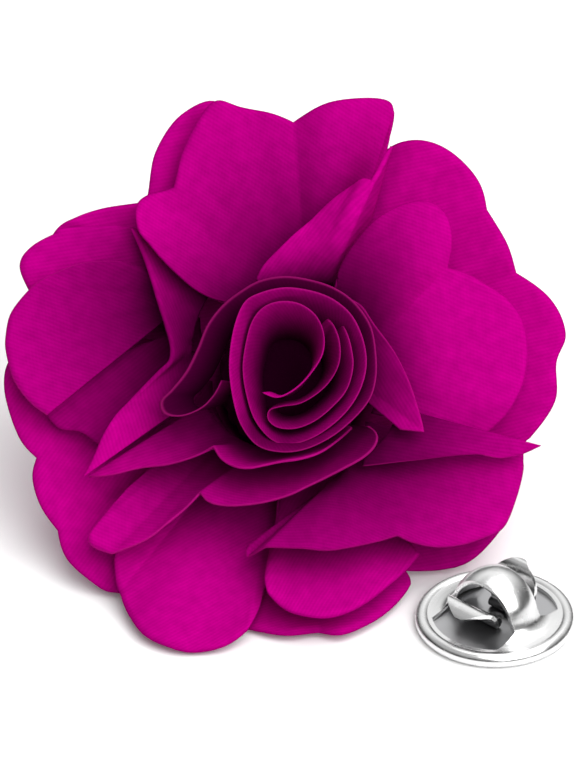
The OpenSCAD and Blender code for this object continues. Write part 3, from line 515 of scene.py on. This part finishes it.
def turn_under(grid, cloth, width):
    """Folds a free edge round and back under the petal, less so near its two ends."""
    edge, normals = grid[:, -1], grid_normals(grid, False)[:, -1]
    out = unit(edge - grid[:, -2])
    share = np.linspace(0, 1, len(grid))
    side = ease(share / 0.08) * ease((1 - share) / 0.08)
    radius = (cloth.fold_radius * (0.35 + 0.65 * side))[:, None]
    back = width * (0.3 + 0.7 * side)[:, None]
    rows = [edge + out * radius * math.sin(a) - normals * radius * (1 - math.cos(a))
            for a in np.radians(np.arange(30, 181, 30))]
    rows += [edge - normals * 2 * radius - out * back * k for k in (0.35, 0.7, 1)]
    return np.concatenate([grid, np.stack(rows, axis=1)], axis=1)


def map_cloth(mesh, places, marks):
    """Stores a place on the flat cloth for each vertex, in millimetres, as the UV map, and
    named marks for the cloth's material."""
    corner = np.zeros(len(mesh.loops), int)
    mesh.loops.foreach_get("vertex_index", corner)
    uv = mesh.uv_layers.new(name="Cloth")
    uv.data.foreach_set("uv", places[corner].astype(np.float32).ravel())
    for name, values in marks.items():
        made = mesh.attributes.new(name, "FLOAT", "POINT")
        made.data.foreach_set("value", values.astype(np.float32))


def sheet_mesh(name, grid, flat, marks, thickness, grain, closed):
    """Mesh of a sheet of cloth of even thickness round its middle surface, with its
    place on the flat cloth as its UV map and named marks."""
    offset = grid_normals(grid, closed) * thickness / 2
    points = np.concatenate([(grid + offset).reshape(-1, 3), (grid - offset).reshape(-1, 3)])
    half = len(points) // 2
    at = np.arange(half).reshape(grid.shape[:2])
    if closed:
        at = np.concatenate([at, at[:1]])
    a, b, c, d = at[:-1, :-1], at[:-1, 1:], at[1:, 1:], at[1:, :-1]
    quads = [(a, b, c, d), (half + a, half + d, half + c, half + b)]
    for line in (at[:, -1], at[0])[:1 if closed else 2]:
        quads.append((line[:-1], half + line[:-1], half + line[1:], line[1:]))
    for line in () if closed else (at[:, 0], at[-1]):
        quads.append((line[:-1], line[1:], half + line[1:], half + line[:-1]))
    faces = np.concatenate([np.stack(q, axis=-1).reshape(-1, 4) for q in quads]).tolist()
    if closed:
        hub = at[:-1, 0]
        faces += [hub.tolist(), (half + hub[::-1]).tolist()]
    mesh = bpy.data.meshes.new(name)
    mesh.from_pydata(points.tolist(), [], faces)
    turn = math.radians(grain)
    plain = np.concatenate([flat.reshape(-1, 2)] * 2) / MM
    turned = plain @ np.array([[math.cos(turn), -math.sin(turn)], [math.sin(turn), math.cos(turn)]])
    map_cloth(mesh, turned, {k: np.concatenate([v.ravel()] * 2) for k, v in marks.items()})
    mesh.shade_smooth()
    mesh.update()
    return mesh


def placed(name, data):
    """A new object in the scene."""
    made = bpy.data.objects.new(name, data)
    bpy.context.scene.collection.objects.link(made)
    return made


def add_piece(name, mesh, node, body, slot, place):
    """Puts a finished mesh in the row frame, in place of the CAD node that it dresses."""
    mesh.transform(place)
    piece = placed(name, mesh)
    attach(piece, body)
    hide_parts(node)
    piece.visible_glossy = slot != "cloth"
    return piece


class Tree:
    """A node tree, with a short name for each kind of node that is added to it often."""

    def __init__(self, tree):
        self.tree = tree

    def link(self, value, socket):
        """Fills an input with a value, or links it to an output."""
        if isinstance(value, bpy.types.NodeSocket):
            self.tree.links.new(value, socket)
        else:
            socket.default_value = value

    def add(self, kind, inputs=None, out=0, family="ShaderNode", **settings):
        """An output of a new node, after its properties are set and its inputs filled."""
        made = self.tree.nodes.new(family + kind)
        for key, value in settings.items():
            setattr(made, key, value)
        for key, value in (inputs or {}).items():
            self.link(value, made.inputs[key])
        return made.outputs[out]

    def calc(self, operation, *values):
        """The result of a Math node."""
        return self.add("Math", dict(enumerate(values)), operation=operation)

    plus = partialmethod(calc, "ADD")
    minus = partialmethod(calc, "SUBTRACT")
    times = partialmethod(calc, "MULTIPLY")
    times_plus = partialmethod(calc, "MULTIPLY_ADD")
    over = partialmethod(calc, "DIVIDE")

    def ranged(self, value, low, high, first=0.0, last=1.0, **settings):
        """A value's place between low and high, as a place between first and last."""
        inputs = {"From Min": low, "From Max": high, "To Min": first, "To Max": last}
        return self.add("MapRange", {"Value": value, **inputs}, **settings)

    def fading(self, value, near, far, strength=1.0):
        """A strength up to the near value that fades out at the far one."""
        return self.ranged(value, near, far, strength, 0.0, interpolation_type="SMOOTHSTEP")

    def noise(self, vector, scale, detail):
        """The strength of a noise."""
        return self.add("TexNoise", {"Vector": vector, "Scale": scale, "Detail": detail})

    def split(self, vector):
        """The three parts of a vector."""
        return list(self.add("SeparateXYZ", {0: vector}).node.outputs)

    def joined(self, *parts, kind="CombineXYZ"):
        """A vector or colour from its parts."""
        return self.add(kind, dict(enumerate(parts)))

    def mixed(self, share, first, second, **settings):
        """A colour between two, each a colour or an output."""
        ends = [v if isinstance(v, bpy.types.NodeSocket) else (*v, 1) for v in (first, second)]
        return self.add(
            "Mix", {0: share, 6: ends[0], 7: ends[1]}, 2, data_type="RGBA", **settings
        )

    def bump(self, height, strength, mm):
        """A normal that follows a height."""
        return self.add("Bump", {"Height": height, "Strength": strength, "Distance": mm * MM})

    def shape(self, kind, inputs=None, out=0, **settings):
        """An output of a new geometry node."""
        return self.add(kind, inputs, out, "GeometryNode", **settings)

    def kept(self, geometry, name, value, **settings):
        """The geometry with a value stored on it under a name."""
        inputs = {"Geometry": geometry, "Name": name, "Value": value}
        return self.shape("StoreNamedAttribute", inputs, **settings)


def new_group(name, kind, inputs, outputs):
    """An empty node group with its tree, inputs and outputs. Each socket is named, and
    given by its default or, where it has none, by its kind."""
    group = bpy.data.node_groups.new(name, kind)
    for way, sockets in (("INPUT", inputs), ("OUTPUT", outputs)):
        for label, value in sockets.items():
            plain = isinstance(value, str)
            socket = "NodeSocket" + (value if plain else type(value).__name__.title())
            made = group.interface.new_socket(label, in_out=way, socket_type=socket)
            if not plain:
                made.default_value = value
    start, end = group.nodes.new("NodeGroupInput"), group.nodes.new("NodeGroupOutput")
    return group, Tree(group), start.outputs, end.inputs


def twill_group():
    """Fine diagonal twill lines, crossed by fainter yarns, in flat cloth coordinates."""
    found = bpy.data.node_groups.get("Twill")
    if found:
        return found
    group, tree, ins, end = new_group(
        "Twill", "ShaderNodeTree",
        {"Cloth": "Vector", "Spacing": 0.285, "Crossing": 0.3, "Grit": 0.5},
        {"Yarn": "Float", "Speckle": "Float"},
    )
    cloth = ins["Cloth"]
    x, y, _ = tree.split(cloth)
    per_mm = tree.over(2 * math.pi, ins["Spacing"])
    across = tree.times_plus(y, per_mm, tree.times(tree.noise(cloth, 0.35, 1.0), 4.0))
    slant = tree.times_plus(x, per_mm, tree.times(across, 0.5))
    crossing = tree.times(tree.calc("SINE", slant), ins["Crossing"])
    grit = tree.times(tree.minus(tree.noise(cloth, 5.0, 2.0), 0.5), tree.times(ins["Grit"], 4.0))
    total = tree.plus(tree.plus(tree.calc("SINE", across), crossing), grit)
    tree.link(tree.times_plus(total, 0.3, 0.5), end["Yarn"])
    tree.link(tree.noise(cloth, 1.1, 4.0), end["Speckle"])
    return group


def opened_material(name):
    """A material by name, with its tree and its shader's inputs where it is a new one."""
    material = bpy.data.materials.get(name)
    if material:
        return material, None, None
    material = bpy.data.materials.new(name)
    material.use_nodes = True
    tree = material.node_tree
    return material, Tree(tree), tree.nodes["Principled BSDF"].inputs


def cloth_material(cloth):
    """Fuchsia twill with painted shade deep in its gathers, and a fine line along its cut edge that
    is a painted highlight where the edge is lit.
    """
    material, tree, shader = opened_material("Fuchsia twill")
    if not tree:
        return material
    twill = tree.add(
        "Group", {"Cloth": tree.add("UVMap", uv_map="Cloth"), "Spacing": cloth.twill / MM},
        node_tree=twill_group(),
    ).node.outputs
    from_cut_edge, shade_from_gather, lit_edge = (
        tree.add("Attribute", out="Fac", attribute_name=name)
        for name in ("from_cut_edge", "shade_from_gather", "lit_edge")
    )
    yarn = tree.mixed(twill["Yarn"], cloth.deep, cloth.light, clamp_factor=True)
    tone = tree.times_plus(twill["Speckle"], 0.5, 0.77)
    grey = tree.joined(tone, tone, tone, kind="CombineColor")
    toned = tree.mixed(1.0, yarn, grey, blend_type="MULTIPLY")
    # Painted shade: the cloth is darkened towards the hollow colour near its gathers and the
    # rosette.
    gathered = tree.mixed(tree.fading(shade_from_gather, DARKEST, SHADE_REACH), toned, cloth.hollow)
    # Painted highlight: a cut edge is lighter as far as lit_edge says it catches the light, and is
    # otherwise the darker sealed line.
    line = tree.mixed(lit_edge, cloth.burnt, cloth.cut)
    strength = tree.times_plus(lit_edge, 0.2, 0.35)
    near = tree.times(tree.fading(from_cut_edge, 0.03, 0.14), strength)
    for name, value in {
        "Base Color": tree.mixed(near, gathered, line), "Roughness": 0.75,
        "Normal": tree.bump(twill["Yarn"], 0.2, 0.02), "Specular IOR Level": 0.0,
        "Sheen Weight": 0.02, "Sheen Roughness": 0.4, "Sheen Tint": (0.9, 0.0, 0.45, 1),
    }.items():
        tree.link(value, shader[name])
    return material


def metal_material(name, metal):
    """Plated or plain metal with faint marks and a little unevenness."""
    material, tree, shader = opened_material(name)
    if not tree:
        return material
    setting, roughness, scratch = METALS[name]
    shade = getattr(metal, setting)
    place = tree.add("TexCoord", out="Object")
    marks = tree.noise(place, 900.0, 4.0)
    rough = tree.ranged(marks, 0.35, 0.75, roughness, roughness + scratch)
    tree.link(rough, shader["Roughness"])
    tree.link(tree.mixed(marks, [c * 0.9 for c in shade], shade), shader["Base Color"])
    tree.link(tree.bump(tree.noise(place, 260.0, 1.0), 0.25, 0.05), shader["Normal"])
    shader["Metallic"].default_value = 1.0
    return material


def floor_material(stage):
    """Matt pale floor with a trace of unevenness."""
    material, tree, shader = opened_material("Pale floor")
    if tree:
        cloud = tree.noise(tree.add("TexCoord", out="Object"), 12.0, 2.0)
        dim = [c * 0.985 for c in stage.floor]
        tree.link(tree.mixed(cloud, dim, stage.floor), shader["Base Color"])
        shader["Roughness"].default_value = 0.6
    return material


def rolled_strip_group():
    """Geometry Nodes: a strip of cloth standing on edge along the object's own path."""
    found = bpy.data.node_groups.get("Rolled strip")
    if found:
        return found
    group, tree, ins, end = new_group("Rolled strip", "GeometryNodeTree", {
        "Geometry": "Geometry", "Inner foot": 7 * MM, "Outer foot": 9.5 * MM, "Inner share": 0.62,
        "Outer share": 0.75, "Inner reach": 5.2 * MM, "Outer reach": 6.8 * MM, "Flare": 1.6,
        "Middle": "Vector", "Thickness": 0.3 * MM, "Columns": 400, "Rows": 20, "Cloth": "Material",
    }, {"Geometry": "Geometry"})
    path = tree.shape("MeshToCurve", {"Mesh": ins["Geometry"]})
    grid = tree.shape("MeshGrid", {
        "Size X": 1.0, "Size Y": 1.0, "Vertices X": ins["Columns"], "Vertices Y": ins["Rows"],
    })
    x, y, _ = tree.split(tree.shape("InputPosition"))
    wall = tree.kept(tree.kept(grid, "along", tree.plus(x, 0.5)), "up", tree.plus(y, 0.5))
    along, up = (tree.shape("InputNamedAttribute", {"Name": name}) for name in ("along", "up"))

    # Each point of the rim stands over a foot nearer to the rosette's middle.
    rim = tree.split(
        tree.shape("SampleCurve", {"Curves": path, "Factor": along}, "Position", mode="FACTOR")
    )
    middle = tree.split(ins["Middle"])[:2]
    sides = [tree.minus(a, b) for a, b in zip(rim, middle)]
    square = tree.times_plus(sides[0], sides[0], tree.times(sides[1], sides[1]))
    outwards = tree.ranged(tree.calc("SQRT", square), ins["Inner reach"], ins["Outer reach"],
                           interpolation_type="SMOOTHSTEP")
    share, foot = (
        tree.times_plus(tree.minus(ins["Outer " + part], ins["Inner " + part]), outwards,
                        ins["Inner " + part])
        for part in ("share", "foot")
    )
    width = tree.times_plus(tree.calc("POWER", up, ins["Flare"]), tree.minus(1.0, share), share)
    place = [tree.times_plus(side, width, start) for side, start in zip(sides, middle)]
    tall = tree.minus(rim[2], foot)
    place.append(tree.times_plus(tall, up, foot))

    # Marks for the cloth's material: painted shade darkens the strip towards its foot, a
    # painted highlight makes it paler at its first end, and its rim is a painted lit edge.
    tall_mm = tree.over(tall, MM)
    lift = tree.minus(tree.fading(along, 0.05, 0.085, 5.0), 1.9)
    for name, value in {
        "shade_from_gather": tree.times_plus(tall_mm, tree.times(up, 1.2), lift),
        "from_cut_edge": tree.times(tall_mm, tree.minus(1.0, up)),
        "lit_edge": 0.45,
    }.items():
        wall = tree.kept(wall, name, value)
    wall = tree.shape("SetPosition", {"Geometry": wall, "Position": tree.joined(*place)})

    # The twill runs at 60 degrees to the rim.
    run = tree.over(tree.times(along, tree.shape("CurveLength", {"Curve": path})), MM)
    high = tree.times(up, tall_mm)
    turned = tree.joined(tree.times_plus(run, 0.5, tree.times(high, 0.85)),
                         tree.times_plus(run, 0.85, tree.times(high, -0.5)))
    wall = tree.kept(wall, "Cloth", turned, data_type="FLOAT2", domain="CORNER")

    def rounding(share, soft):
        """1 away from the two ends of a share, and falling round to 0 at them."""
        near = tree.ranged(tree.calc("MINIMUM", share, tree.minus(1.0, share)), 0.0, soft, 1.0, 0.0)
        return tree.calc("SQRT", tree.minus(1.0, tree.times(near, near)))

    swell = tree.times(rounding(up, 0.07), rounding(along, 0.002))
    half = tree.times(tree.times(ins["Thickness"], swell), 0.5)
    normal = tree.shape("InputNormal")
    faces = []
    for way in (1.0, -1.0):
        push = tree.add("VectorMath", {0: normal, "Scale": tree.times(half, way)},
                        operation="SCALE")
        faces.append(tree.shape("SetPosition", {"Geometry": wall, "Offset": push}))
    both = tree.shape("JoinGeometry", {0: faces[0]})
    tree.link(tree.shape("FlipFaces", {"Mesh": faces[1]}), both.node.inputs[0])
    merged = tree.shape("MergeByDistance", {"Geometry": both, "Distance": 0.0005 * MM})
    real = tree.shape("RealizeInstances", {0: tree.shape("SetShadeSmooth", {0: merged})})
    tree.link(tree.shape("SetMaterial", {"Geometry": real, "Material": ins["Cloth"]}), end[0])
    return group


def evaluated_mesh(piece):
    """The plain mesh that an object's modifiers make."""
    bpy.context.view_layer.update()
    graph = bpy.context.evaluated_depsgraph_get()
    return bpy.data.meshes.new_from_object(piece.evaluated_get(graph), depsgraph=graph)


def modified_mesh(name, source, group, values):
    """Runs a Geometry Nodes group on a mesh and returns the result as a plain mesh."""
    maker = placed(name + "_path", source)
    modifier = maker.modifiers.new("Make", "NODES")
    modifier.node_group = group
    for item in group.interface.items_tree:
        if item.item_type == "SOCKET" and item.in_out == "INPUT" and item.name in values:
            modifier[item.identifier] = values[item.name]
    mesh = evaluated_mesh(maker)
    maker.modifiers.remove(modifier)
    bpy.data.objects.remove(maker)
    return mesh


def path_mesh(name, points):
    """A mesh of edges through the points."""
    mesh = bpy.data.meshes.new(name)
    mesh.from_pydata([tuple(p) for p in points], list(pairwise(range(len(points)))), [])
    return mesh


def ring_mesh(name, rings):
    """Closed mesh through rings of points. A ring of one point closes an end, and any other
    end gets a face."""
    made = bmesh.new()
    rings = [[made.verts.new(point) for point in ring] for ring in rings]
    around = max(map(len, rings))
    for a, b in pairwise(rings):
        for i in range(around):
            k = (i + 1) % around
            corners = dict.fromkeys([a[i % len(a)], a[k % len(a)], b[k % len(b)], b[i % len(b)]])
            if len(corners) > 2:
                made.faces.new(list(corners))
    for ring in (rings[0], rings[-1]):
        if len(ring) > 1:
            made.faces.new(ring)
    bmesh.ops.recalc_face_normals(made, faces=made.faces)
    mesh = bpy.data.meshes.new(name)
    made.to_mesh(mesh)
    made.free()
    return mesh


def spun_mesh(name, section, turns, pleats=0, depth=0):
    """Closed mesh turned from a closed half section that starts and ends on the axis, with
    its round walls pleated to a depth."""
    rings = []
    for out, height in section:
        wide = [(a, out + depth * min(1, out / (3 * MM)) * math.sin(pleats * a))
                for a in np.linspace(0, 2 * math.pi, turns if out > 1e-9 else 1, endpoint=False)]
        rings.append([(r * math.cos(a), r * math.sin(a), height) for a, r in wide])
    return ring_mesh(name, rings)


def arc(middle, radius, *degrees):
    """Points on a circle, at a range of angles."""
    return [[middle[0] + radius * math.cos(a), middle[1] + radius * math.sin(a)]
            for a in np.radians(np.arange(*degrees))]


def cover_section(metal):
    """Closed half section of the stamped cover, in metres."""
    outer, sheet, rim = smooth_rows(COVER_LINE, 4), metal.sheet / MM, metal.rim / MM
    middle = metal.width / MM / 2 - rim
    bead = arc((middle, rim), rim, 130, -91, -10)
    hollow = arc((middle, rim), rim - RIM_WALL, -90, 91, 15)
    slope = unit(np.gradient(outer, axis=0))
    inner = (outer + np.stack([slope[:, 1], -slope[:, 0]], axis=1) * sheet)[::-1]
    inner[-1] = [0, outer[0][1] - sheet]
    inner[:, 0] = np.maximum(inner[:, 0], 0)
    foot = [[middle - RIM_FOOT, 0], [middle - RIM_FOOT, RIM_WALL]]
    return [tuple(np.array(p) * MM) for p in [*outer, *bead, *foot, *hollow, *inner]]


def window_mesh(metal, way):
    """Closed solid of one window: a lying cylinder cut by an upright one."""
    radius, rings = metal.window / 2, []
    for turn in np.radians(np.linspace(1, 179, 61)):
        y, high = radius * math.cos(turn), radius * math.sin(turn)
        near, far = metal.bridge, math.sqrt(metal.window_reach**2 - y * y)
        top, foot = WINDOW_MIDDLE + high, max(WINDOW_FOOT, WINDOW_MIDDLE - high)
        rings.append([(way * x, y, z)
                      for x, z in ((near, top), (near, foot), (far, foot), (far, top))])
    return ring_mesh("window", rings)


def cut_windows(cover, metal):
    """Cuts the two side windows out of the cover's dome."""
    for way in (1, -1):
        cutter = placed("window", window_mesh(metal, way))
        cut = cover.modifiers.new("Window", "BOOLEAN")
        cut.object, cut.operation, cut.solver = cutter, "DIFFERENCE", "EXACT"
        mesh = evaluated_mesh(cover)
        cover.modifiers.clear()
        cover.data = mesh
        bpy.data.objects.remove(cutter)


def lever_mesh(name, line, sheet):
    """A tongue of sheet metal along its side line, with its inner end rolled up."""
    x, z, half = line[0]
    curl = [[*point, half] for point in arc((x, z), LEVER_ROLL, -20, 256, 25)]
    points = smooth_rows([*curl, [x + 0.1, z - LEVER_ROLL, half], *line[2:]], 6)
    tip = np.clip((np.linspace(0, 1, len(points)) - 0.8) / 0.2, 0, 1)
    points[:, 2] *= np.sqrt(1 - 0.9 * tip**2)
    slope = unit(np.gradient(points[:, :2], axis=0))
    side = np.stack([-slope[:, 1], slope[:, 0]], axis=1) * sheet / 2
    shares = np.cos(np.linspace(0, math.pi, 13))
    return ring_mesh(name, [
        [(x + s[0], k * wide, z + s[1]) for k in shares]
        + [(x - s[0], k * wide, z - s[1]) for k in reversed(shares)]
        for (x, z, wide), s in zip(points * MM, side)
    ])


def metal_mesh(maker, metal, width, angle, in_shade):
    """Takes a maker's mesh with its sharp edges rounded, plated, and of a rougher metal
    painted darker as shade where a test of its faces says so."""
    edge = maker.modifiers.new("Soften", "BEVEL")
    edge.width, edge.segments = width, 3
    edge.limit_method, edge.angle_limit = "ANGLE", math.radians(angle)
    mesh = evaluated_mesh(maker)
    mesh.shade_smooth()
    bpy.data.objects.remove(maker)
    mesh.materials.clear()
    for finish in ("Bright plating", "Painted shade inside"):
        mesh.materials.append(metal_material(finish, metal))
    for face in mesh.polygons:
        face.material_index = int(in_shade(face))
    return mesh


def finish_node(node, metal):
    """Gives a CAD node its plain steel."""
    materials = frame["nodes"][node].data.materials
    materials.clear()
    materials.append(metal_material("Plain steel", metal))


class FLOWERPIN_OT_petals(bpy.types.Operator):
    """Make the petals of twill cloth"""

    bl_idname = "flower_pin.petals"
    bl_label = "Petals"

    def execute(self, context):
        cloth = context.scene.flower_pin_cloth
        for node, spec in PETALS.items():
            grid, flat, from_edge, shade_from_gather = petal_grid(spec, cloth)
            # Painted shade: "deep" stretches how far the cloth darkens from its gathers, and beside
            # the rosette it is darkened more.
            deep = spec.get("deep", [SHADE_REACH])
            ends = np.linspace(0, 1, len(deep))
            deep = np.interp(np.linspace(0, 1, len(grid)), ends, deep)[:, None]
            reach = np.linalg.norm(grid[:, :, :2], axis=2) / MM
            shade_from_gather = shade_from_gather / MM * SHADE_REACH / deep
            marks = {
                "from_cut_edge": from_edge / MM,
                "shade_from_gather": np.minimum(shade_from_gather, SHADE_RATE * (reach - SHADE_START)),
                "lit_edge": np.full(from_edge.shape, spec.get("lit", 0)),
            }
            name, closed = node + "_cloth", "closed" in spec
            mesh = sheet_mesh(name, grid, flat, marks, cloth.thickness, spec["grain"], closed)
            mesh.materials.append(cloth_material(cloth))
            piece = add_piece(name, mesh, node, BODY, "cloth", FLOWER_TO_ROW)
        return {"FINISHED"}


class FLOWERPIN_OT_rosette(bpy.types.Operator):
    """Roll the two strips of the rosette"""

    bl_idname = "flower_pin.rosette"
    bl_label = "Rosette"

    def execute(self, context):
        rosette = context.scene.flower_pin_rosette
        values = {
            name.replace("_", " ").capitalize(): getattr(rosette, name)
            for name in ("inner_foot", "outer_foot", "inner_share", "outer_share",
                         "inner_reach", "outer_reach", "flare", "thickness")
        }
        values["Middle"] = tuple(rosette.middle)
        values["Cloth"] = cloth_material(context.scene.flower_pin_cloth)
        for node, rim in ROSETTE_RIMS.items():
            path = path_mesh(node, smooth_rows(rim, 8) * MM)
            mesh = modified_mesh(node, path, rolled_strip_group(),
                                 {**values, "Columns": 12 * len(rim), "Rows": 28})
            if len(mesh.polygons) < 100:
                raise RuntimeError(node + " came out empty")
            piece = add_piece(node + "_cloth", mesh, node, BODY, "cloth", FLOWER_TO_ROW)
        return {"FINISHED"}


class FLOWERPIN_OT_core(bpy.types.Operator):
    """Make the sewn bundle of gathered petal ends"""

    bl_idname = "flower_pin.core"
    bl_label = "Sewn core"

    def execute(self, context):
        section = [tuple(p) for p in smooth_rows(CORE_LINE, 5) * MM]
        section[0], section[-1] = (0, section[0][1]), (0, section[-1][1])
        mesh = spun_mesh("sewn_core_cloth", section, 260, 26, 0.1 * MM)
        spots = np.array([v.co for v in mesh.vertices]) / MM
        # Painted shade: the whole core takes the darkest painted shade, for the shade deep in the
        # rosette's hole.
        map_cloth(mesh, np.stack([spots[:, 0], spots[:, 1] + spots[:, 2]], axis=1), {
            "from_cut_edge": np.full(len(spots), 9.0), "shade_from_gather": np.full(len(spots), DARKEST),
        })
        mesh.materials.append(cloth_material(context.scene.flower_pin_cloth))
        mesh.shade_smooth()
        piece = add_piece("sewn_core_cloth", mesh, "sewn_core", BODY, "cloth", FLOWER_TO_ROW)
        return {"FINISHED"}


class FLOWERPIN_OT_clutch(bpy.types.Operator):
    """Make the clutch's stamped cover and finish its plate"""

    bl_idname = "flower_pin.clutch"
    bl_label = "Clutch"

    def execute(self, context):
        metal = context.scene.flower_pin_metal
        cover = placed("cover", spun_mesh("clutch_cover_metal", cover_section(metal), 128))
        cut_windows(cover, metal)
        middle = Vector((0, 0, 0.6 * MM))

        # Painted shade: the dome's inward faces above the dish take the darker metal.
        def inside(face):
            return face.normal.dot(face.center - middle) < 0 and face.center.z > DOME_SHADE

        mesh = metal_mesh(cover, metal, 0.06 * MM, 35, inside)
        add_piece("clutch_cover_metal", mesh, "clutch_cover", BODY, "clutch_metal", CLUTCH_TO_ROW)
        finish_node("clutch_plate", metal)
        return {"FINISHED"}


class FLOWERPIN_OT_levers(bpy.types.Operator):
    """Make the two squeeze levers"""

    bl_idname = "flower_pin.levers"
    bl_label = "Squeeze levers"

    def execute(self, context):
        metal = context.scene.flower_pin_metal
        for node, line in LEVER_LINES.items():
            maker = placed(node, lever_mesh(node, line, metal.sheet))
            # Painted shade: the levers' faces below a height take the darker metal.
            mesh = metal_mesh(maker, metal, 0.08 * MM, 50, lambda face: face.center.z < LEVER_SHADE)
            body, turn = LEVER_PLACES[node]
            place = CLUTCH_TO_ROW @ Matrix.Rotation(turn, 4, "Z")
            add_piece(node + "_metal", mesh, node, body, "clutch_metal", place)
        return {"FINISHED"}


class FLOWERPIN_OT_post(bpy.types.Operator):
    """Finish the pad and post behind the flower"""

    bl_idname = "flower_pin.post"
    bl_label = "Pin post"

    def execute(self, context):
        finish_node("pin_post", context.scene.flower_pin_metal)
        return {"FINISHED"}


def area_light(name, offset, size, power):
    """A square soft light aimed at the flower's middle from an offset."""
    data = bpy.data.lights.new(name, "AREA")
    data.shape, data.size, data.energy = "SQUARE", size, power
    light = placed(name, data)
    light.location = FLOWER_MIDDLE + Vector(offset)
    light.rotation_euler = (-Vector(offset)).to_track_quat("-Z", "Y").to_euler()


def set_world(context, stage):
    """Light from above and behind, and a pale backdrop for the camera alone."""
    world = bpy.data.worlds.new("Studio")
    context.scene.world = world
    world.use_nodes = True
    tree, back = Tree(world.node_tree), world.node_tree.nodes["Background"].inputs
    back["Strength"].default_value = stage.ambient
    _, y, z = tree.split(tree.add("TexCoord", out="Generated"))
    sky = tree.ranged(z, 0.1, 0.6, 0.1, 1.0)
    behind = tree.ranged(y, 0.3, 0.8, 0.0, stage.behind)
    light = tree.times(tree.plus(sky, behind), sky)
    seen = tree.add("LightPath", out="Is Camera Ray")
    pale = [c / stage.ambient for c in stage.floor]
    tree.link(tree.mixed(seen, light, pale), back["Color"])


def set_camera(context, stage):
    """The photo's view: square on to the flower, which shows a little off the middle."""
    sine, cosine = math.sin(stage.elevation), math.cos(stage.elevation)
    up, ahead = Vector((0, sine, cosine)), Vector((0, cosine, -sine))
    shown_at = SHOWN_AT / PIXELS_PER_MM * MM
    aim = FLOWER_MIDDLE - Vector((shown_at.x, 0, 0)) + up * shown_at.y - ahead * AIM_IN_FRONT
    data = bpy.data.cameras.new("camera")
    data.lens, data.sensor_width = stage.lens, SENSOR_WIDTH
    data.clip_start, data.clip_end = 0.01, 10
    camera = placed("camera", data)
    camera.location = aim - ahead * (PHOTO_HEIGHT / PIXELS_PER_MM * MM * stage.lens / SENSOR_WIDTH)
    camera.rotation_euler = ahead.to_track_quat("-Z", "Y").to_euler()
    context.scene.camera = camera
    context.scene.view_settings.view_transform = "Standard"


class FLOWERPIN_OT_stage(bpy.types.Operator):
    """Lay the floor and set the lights and camera"""

    bl_idname = "flower_pin.stage"
    bl_label = "Stage"

    def execute(self, context):
        stage = context.scene.flower_pin_stage
        mesh, half = bpy.data.meshes.new("floor"), 1.5
        corners = [(-half, -half, 0), (half, -half, 0), (half, half, 0), (-half, half, 0)]
        mesh.from_pydata(corners, [], [(0, 1, 2, 3)])
        mesh.materials.append(floor_material(stage))
        placed("floor", mesh)
        set_world(context, stage)
        area_light("key", (0.24, -0.32, 0.46), 0.7, stage.key)
        area_light("overhead", (0.15, 0.12, 0.7), 0.7, stage.overhead)
        set_camera(context, stage)
        return {"FINISHED"}


class FLOWERPIN_PT_panel(bpy.types.Panel):
    """Lists the makers of the flower pin"""

    bl_label = "Flower pin"
    bl_idname = "FLOWERPIN_PT_panel"
    bl_space_type = "VIEW_3D"
    bl_region_type = "UI"
    bl_category = "Flower pin"

    def draw(self, context):
        for operator in OPERATORS:
            self.layout.operator(operator.bl_idname)


SETTINGS = {
    "flower_pin_cloth": FlowerPinCloth,
    "flower_pin_rosette": FlowerPinRosette,
    "flower_pin_metal": FlowerPinMetal,
    "flower_pin_stage": FlowerPinStage,
}
OPERATORS = [
    FLOWERPIN_OT_stage, FLOWERPIN_OT_petals, FLOWERPIN_OT_rosette, FLOWERPIN_OT_core,
    FLOWERPIN_OT_post, FLOWERPIN_OT_clutch, FLOWERPIN_OT_levers,
]


def register():
    for kind in [*SETTINGS.values(), *OPERATORS, FLOWERPIN_PT_panel]:
        bpy.utils.register_class(kind)
    for name, kind in SETTINGS.items():
        setattr(bpy.types.Scene, name, PointerProperty(type=kind))


def unregister():
    for name in SETTINGS:
        delattr(bpy.types.Scene, name)
    for kind in reversed([*SETTINGS.values(), *OPERATORS, FLOWERPIN_PT_panel]):
        bpy.utils.unregister_class(kind)


def main():
    register()
    bpy.ops.flower_pin.stage()
    bpy.ops.flower_pin.petals()
    bpy.ops.flower_pin.rosette()
    bpy.ops.flower_pin.core()
    bpy.ops.flower_pin.post()
    bpy.ops.flower_pin.clutch()
    bpy.ops.flower_pin.levers()


if __name__ == "__main__":
    main()
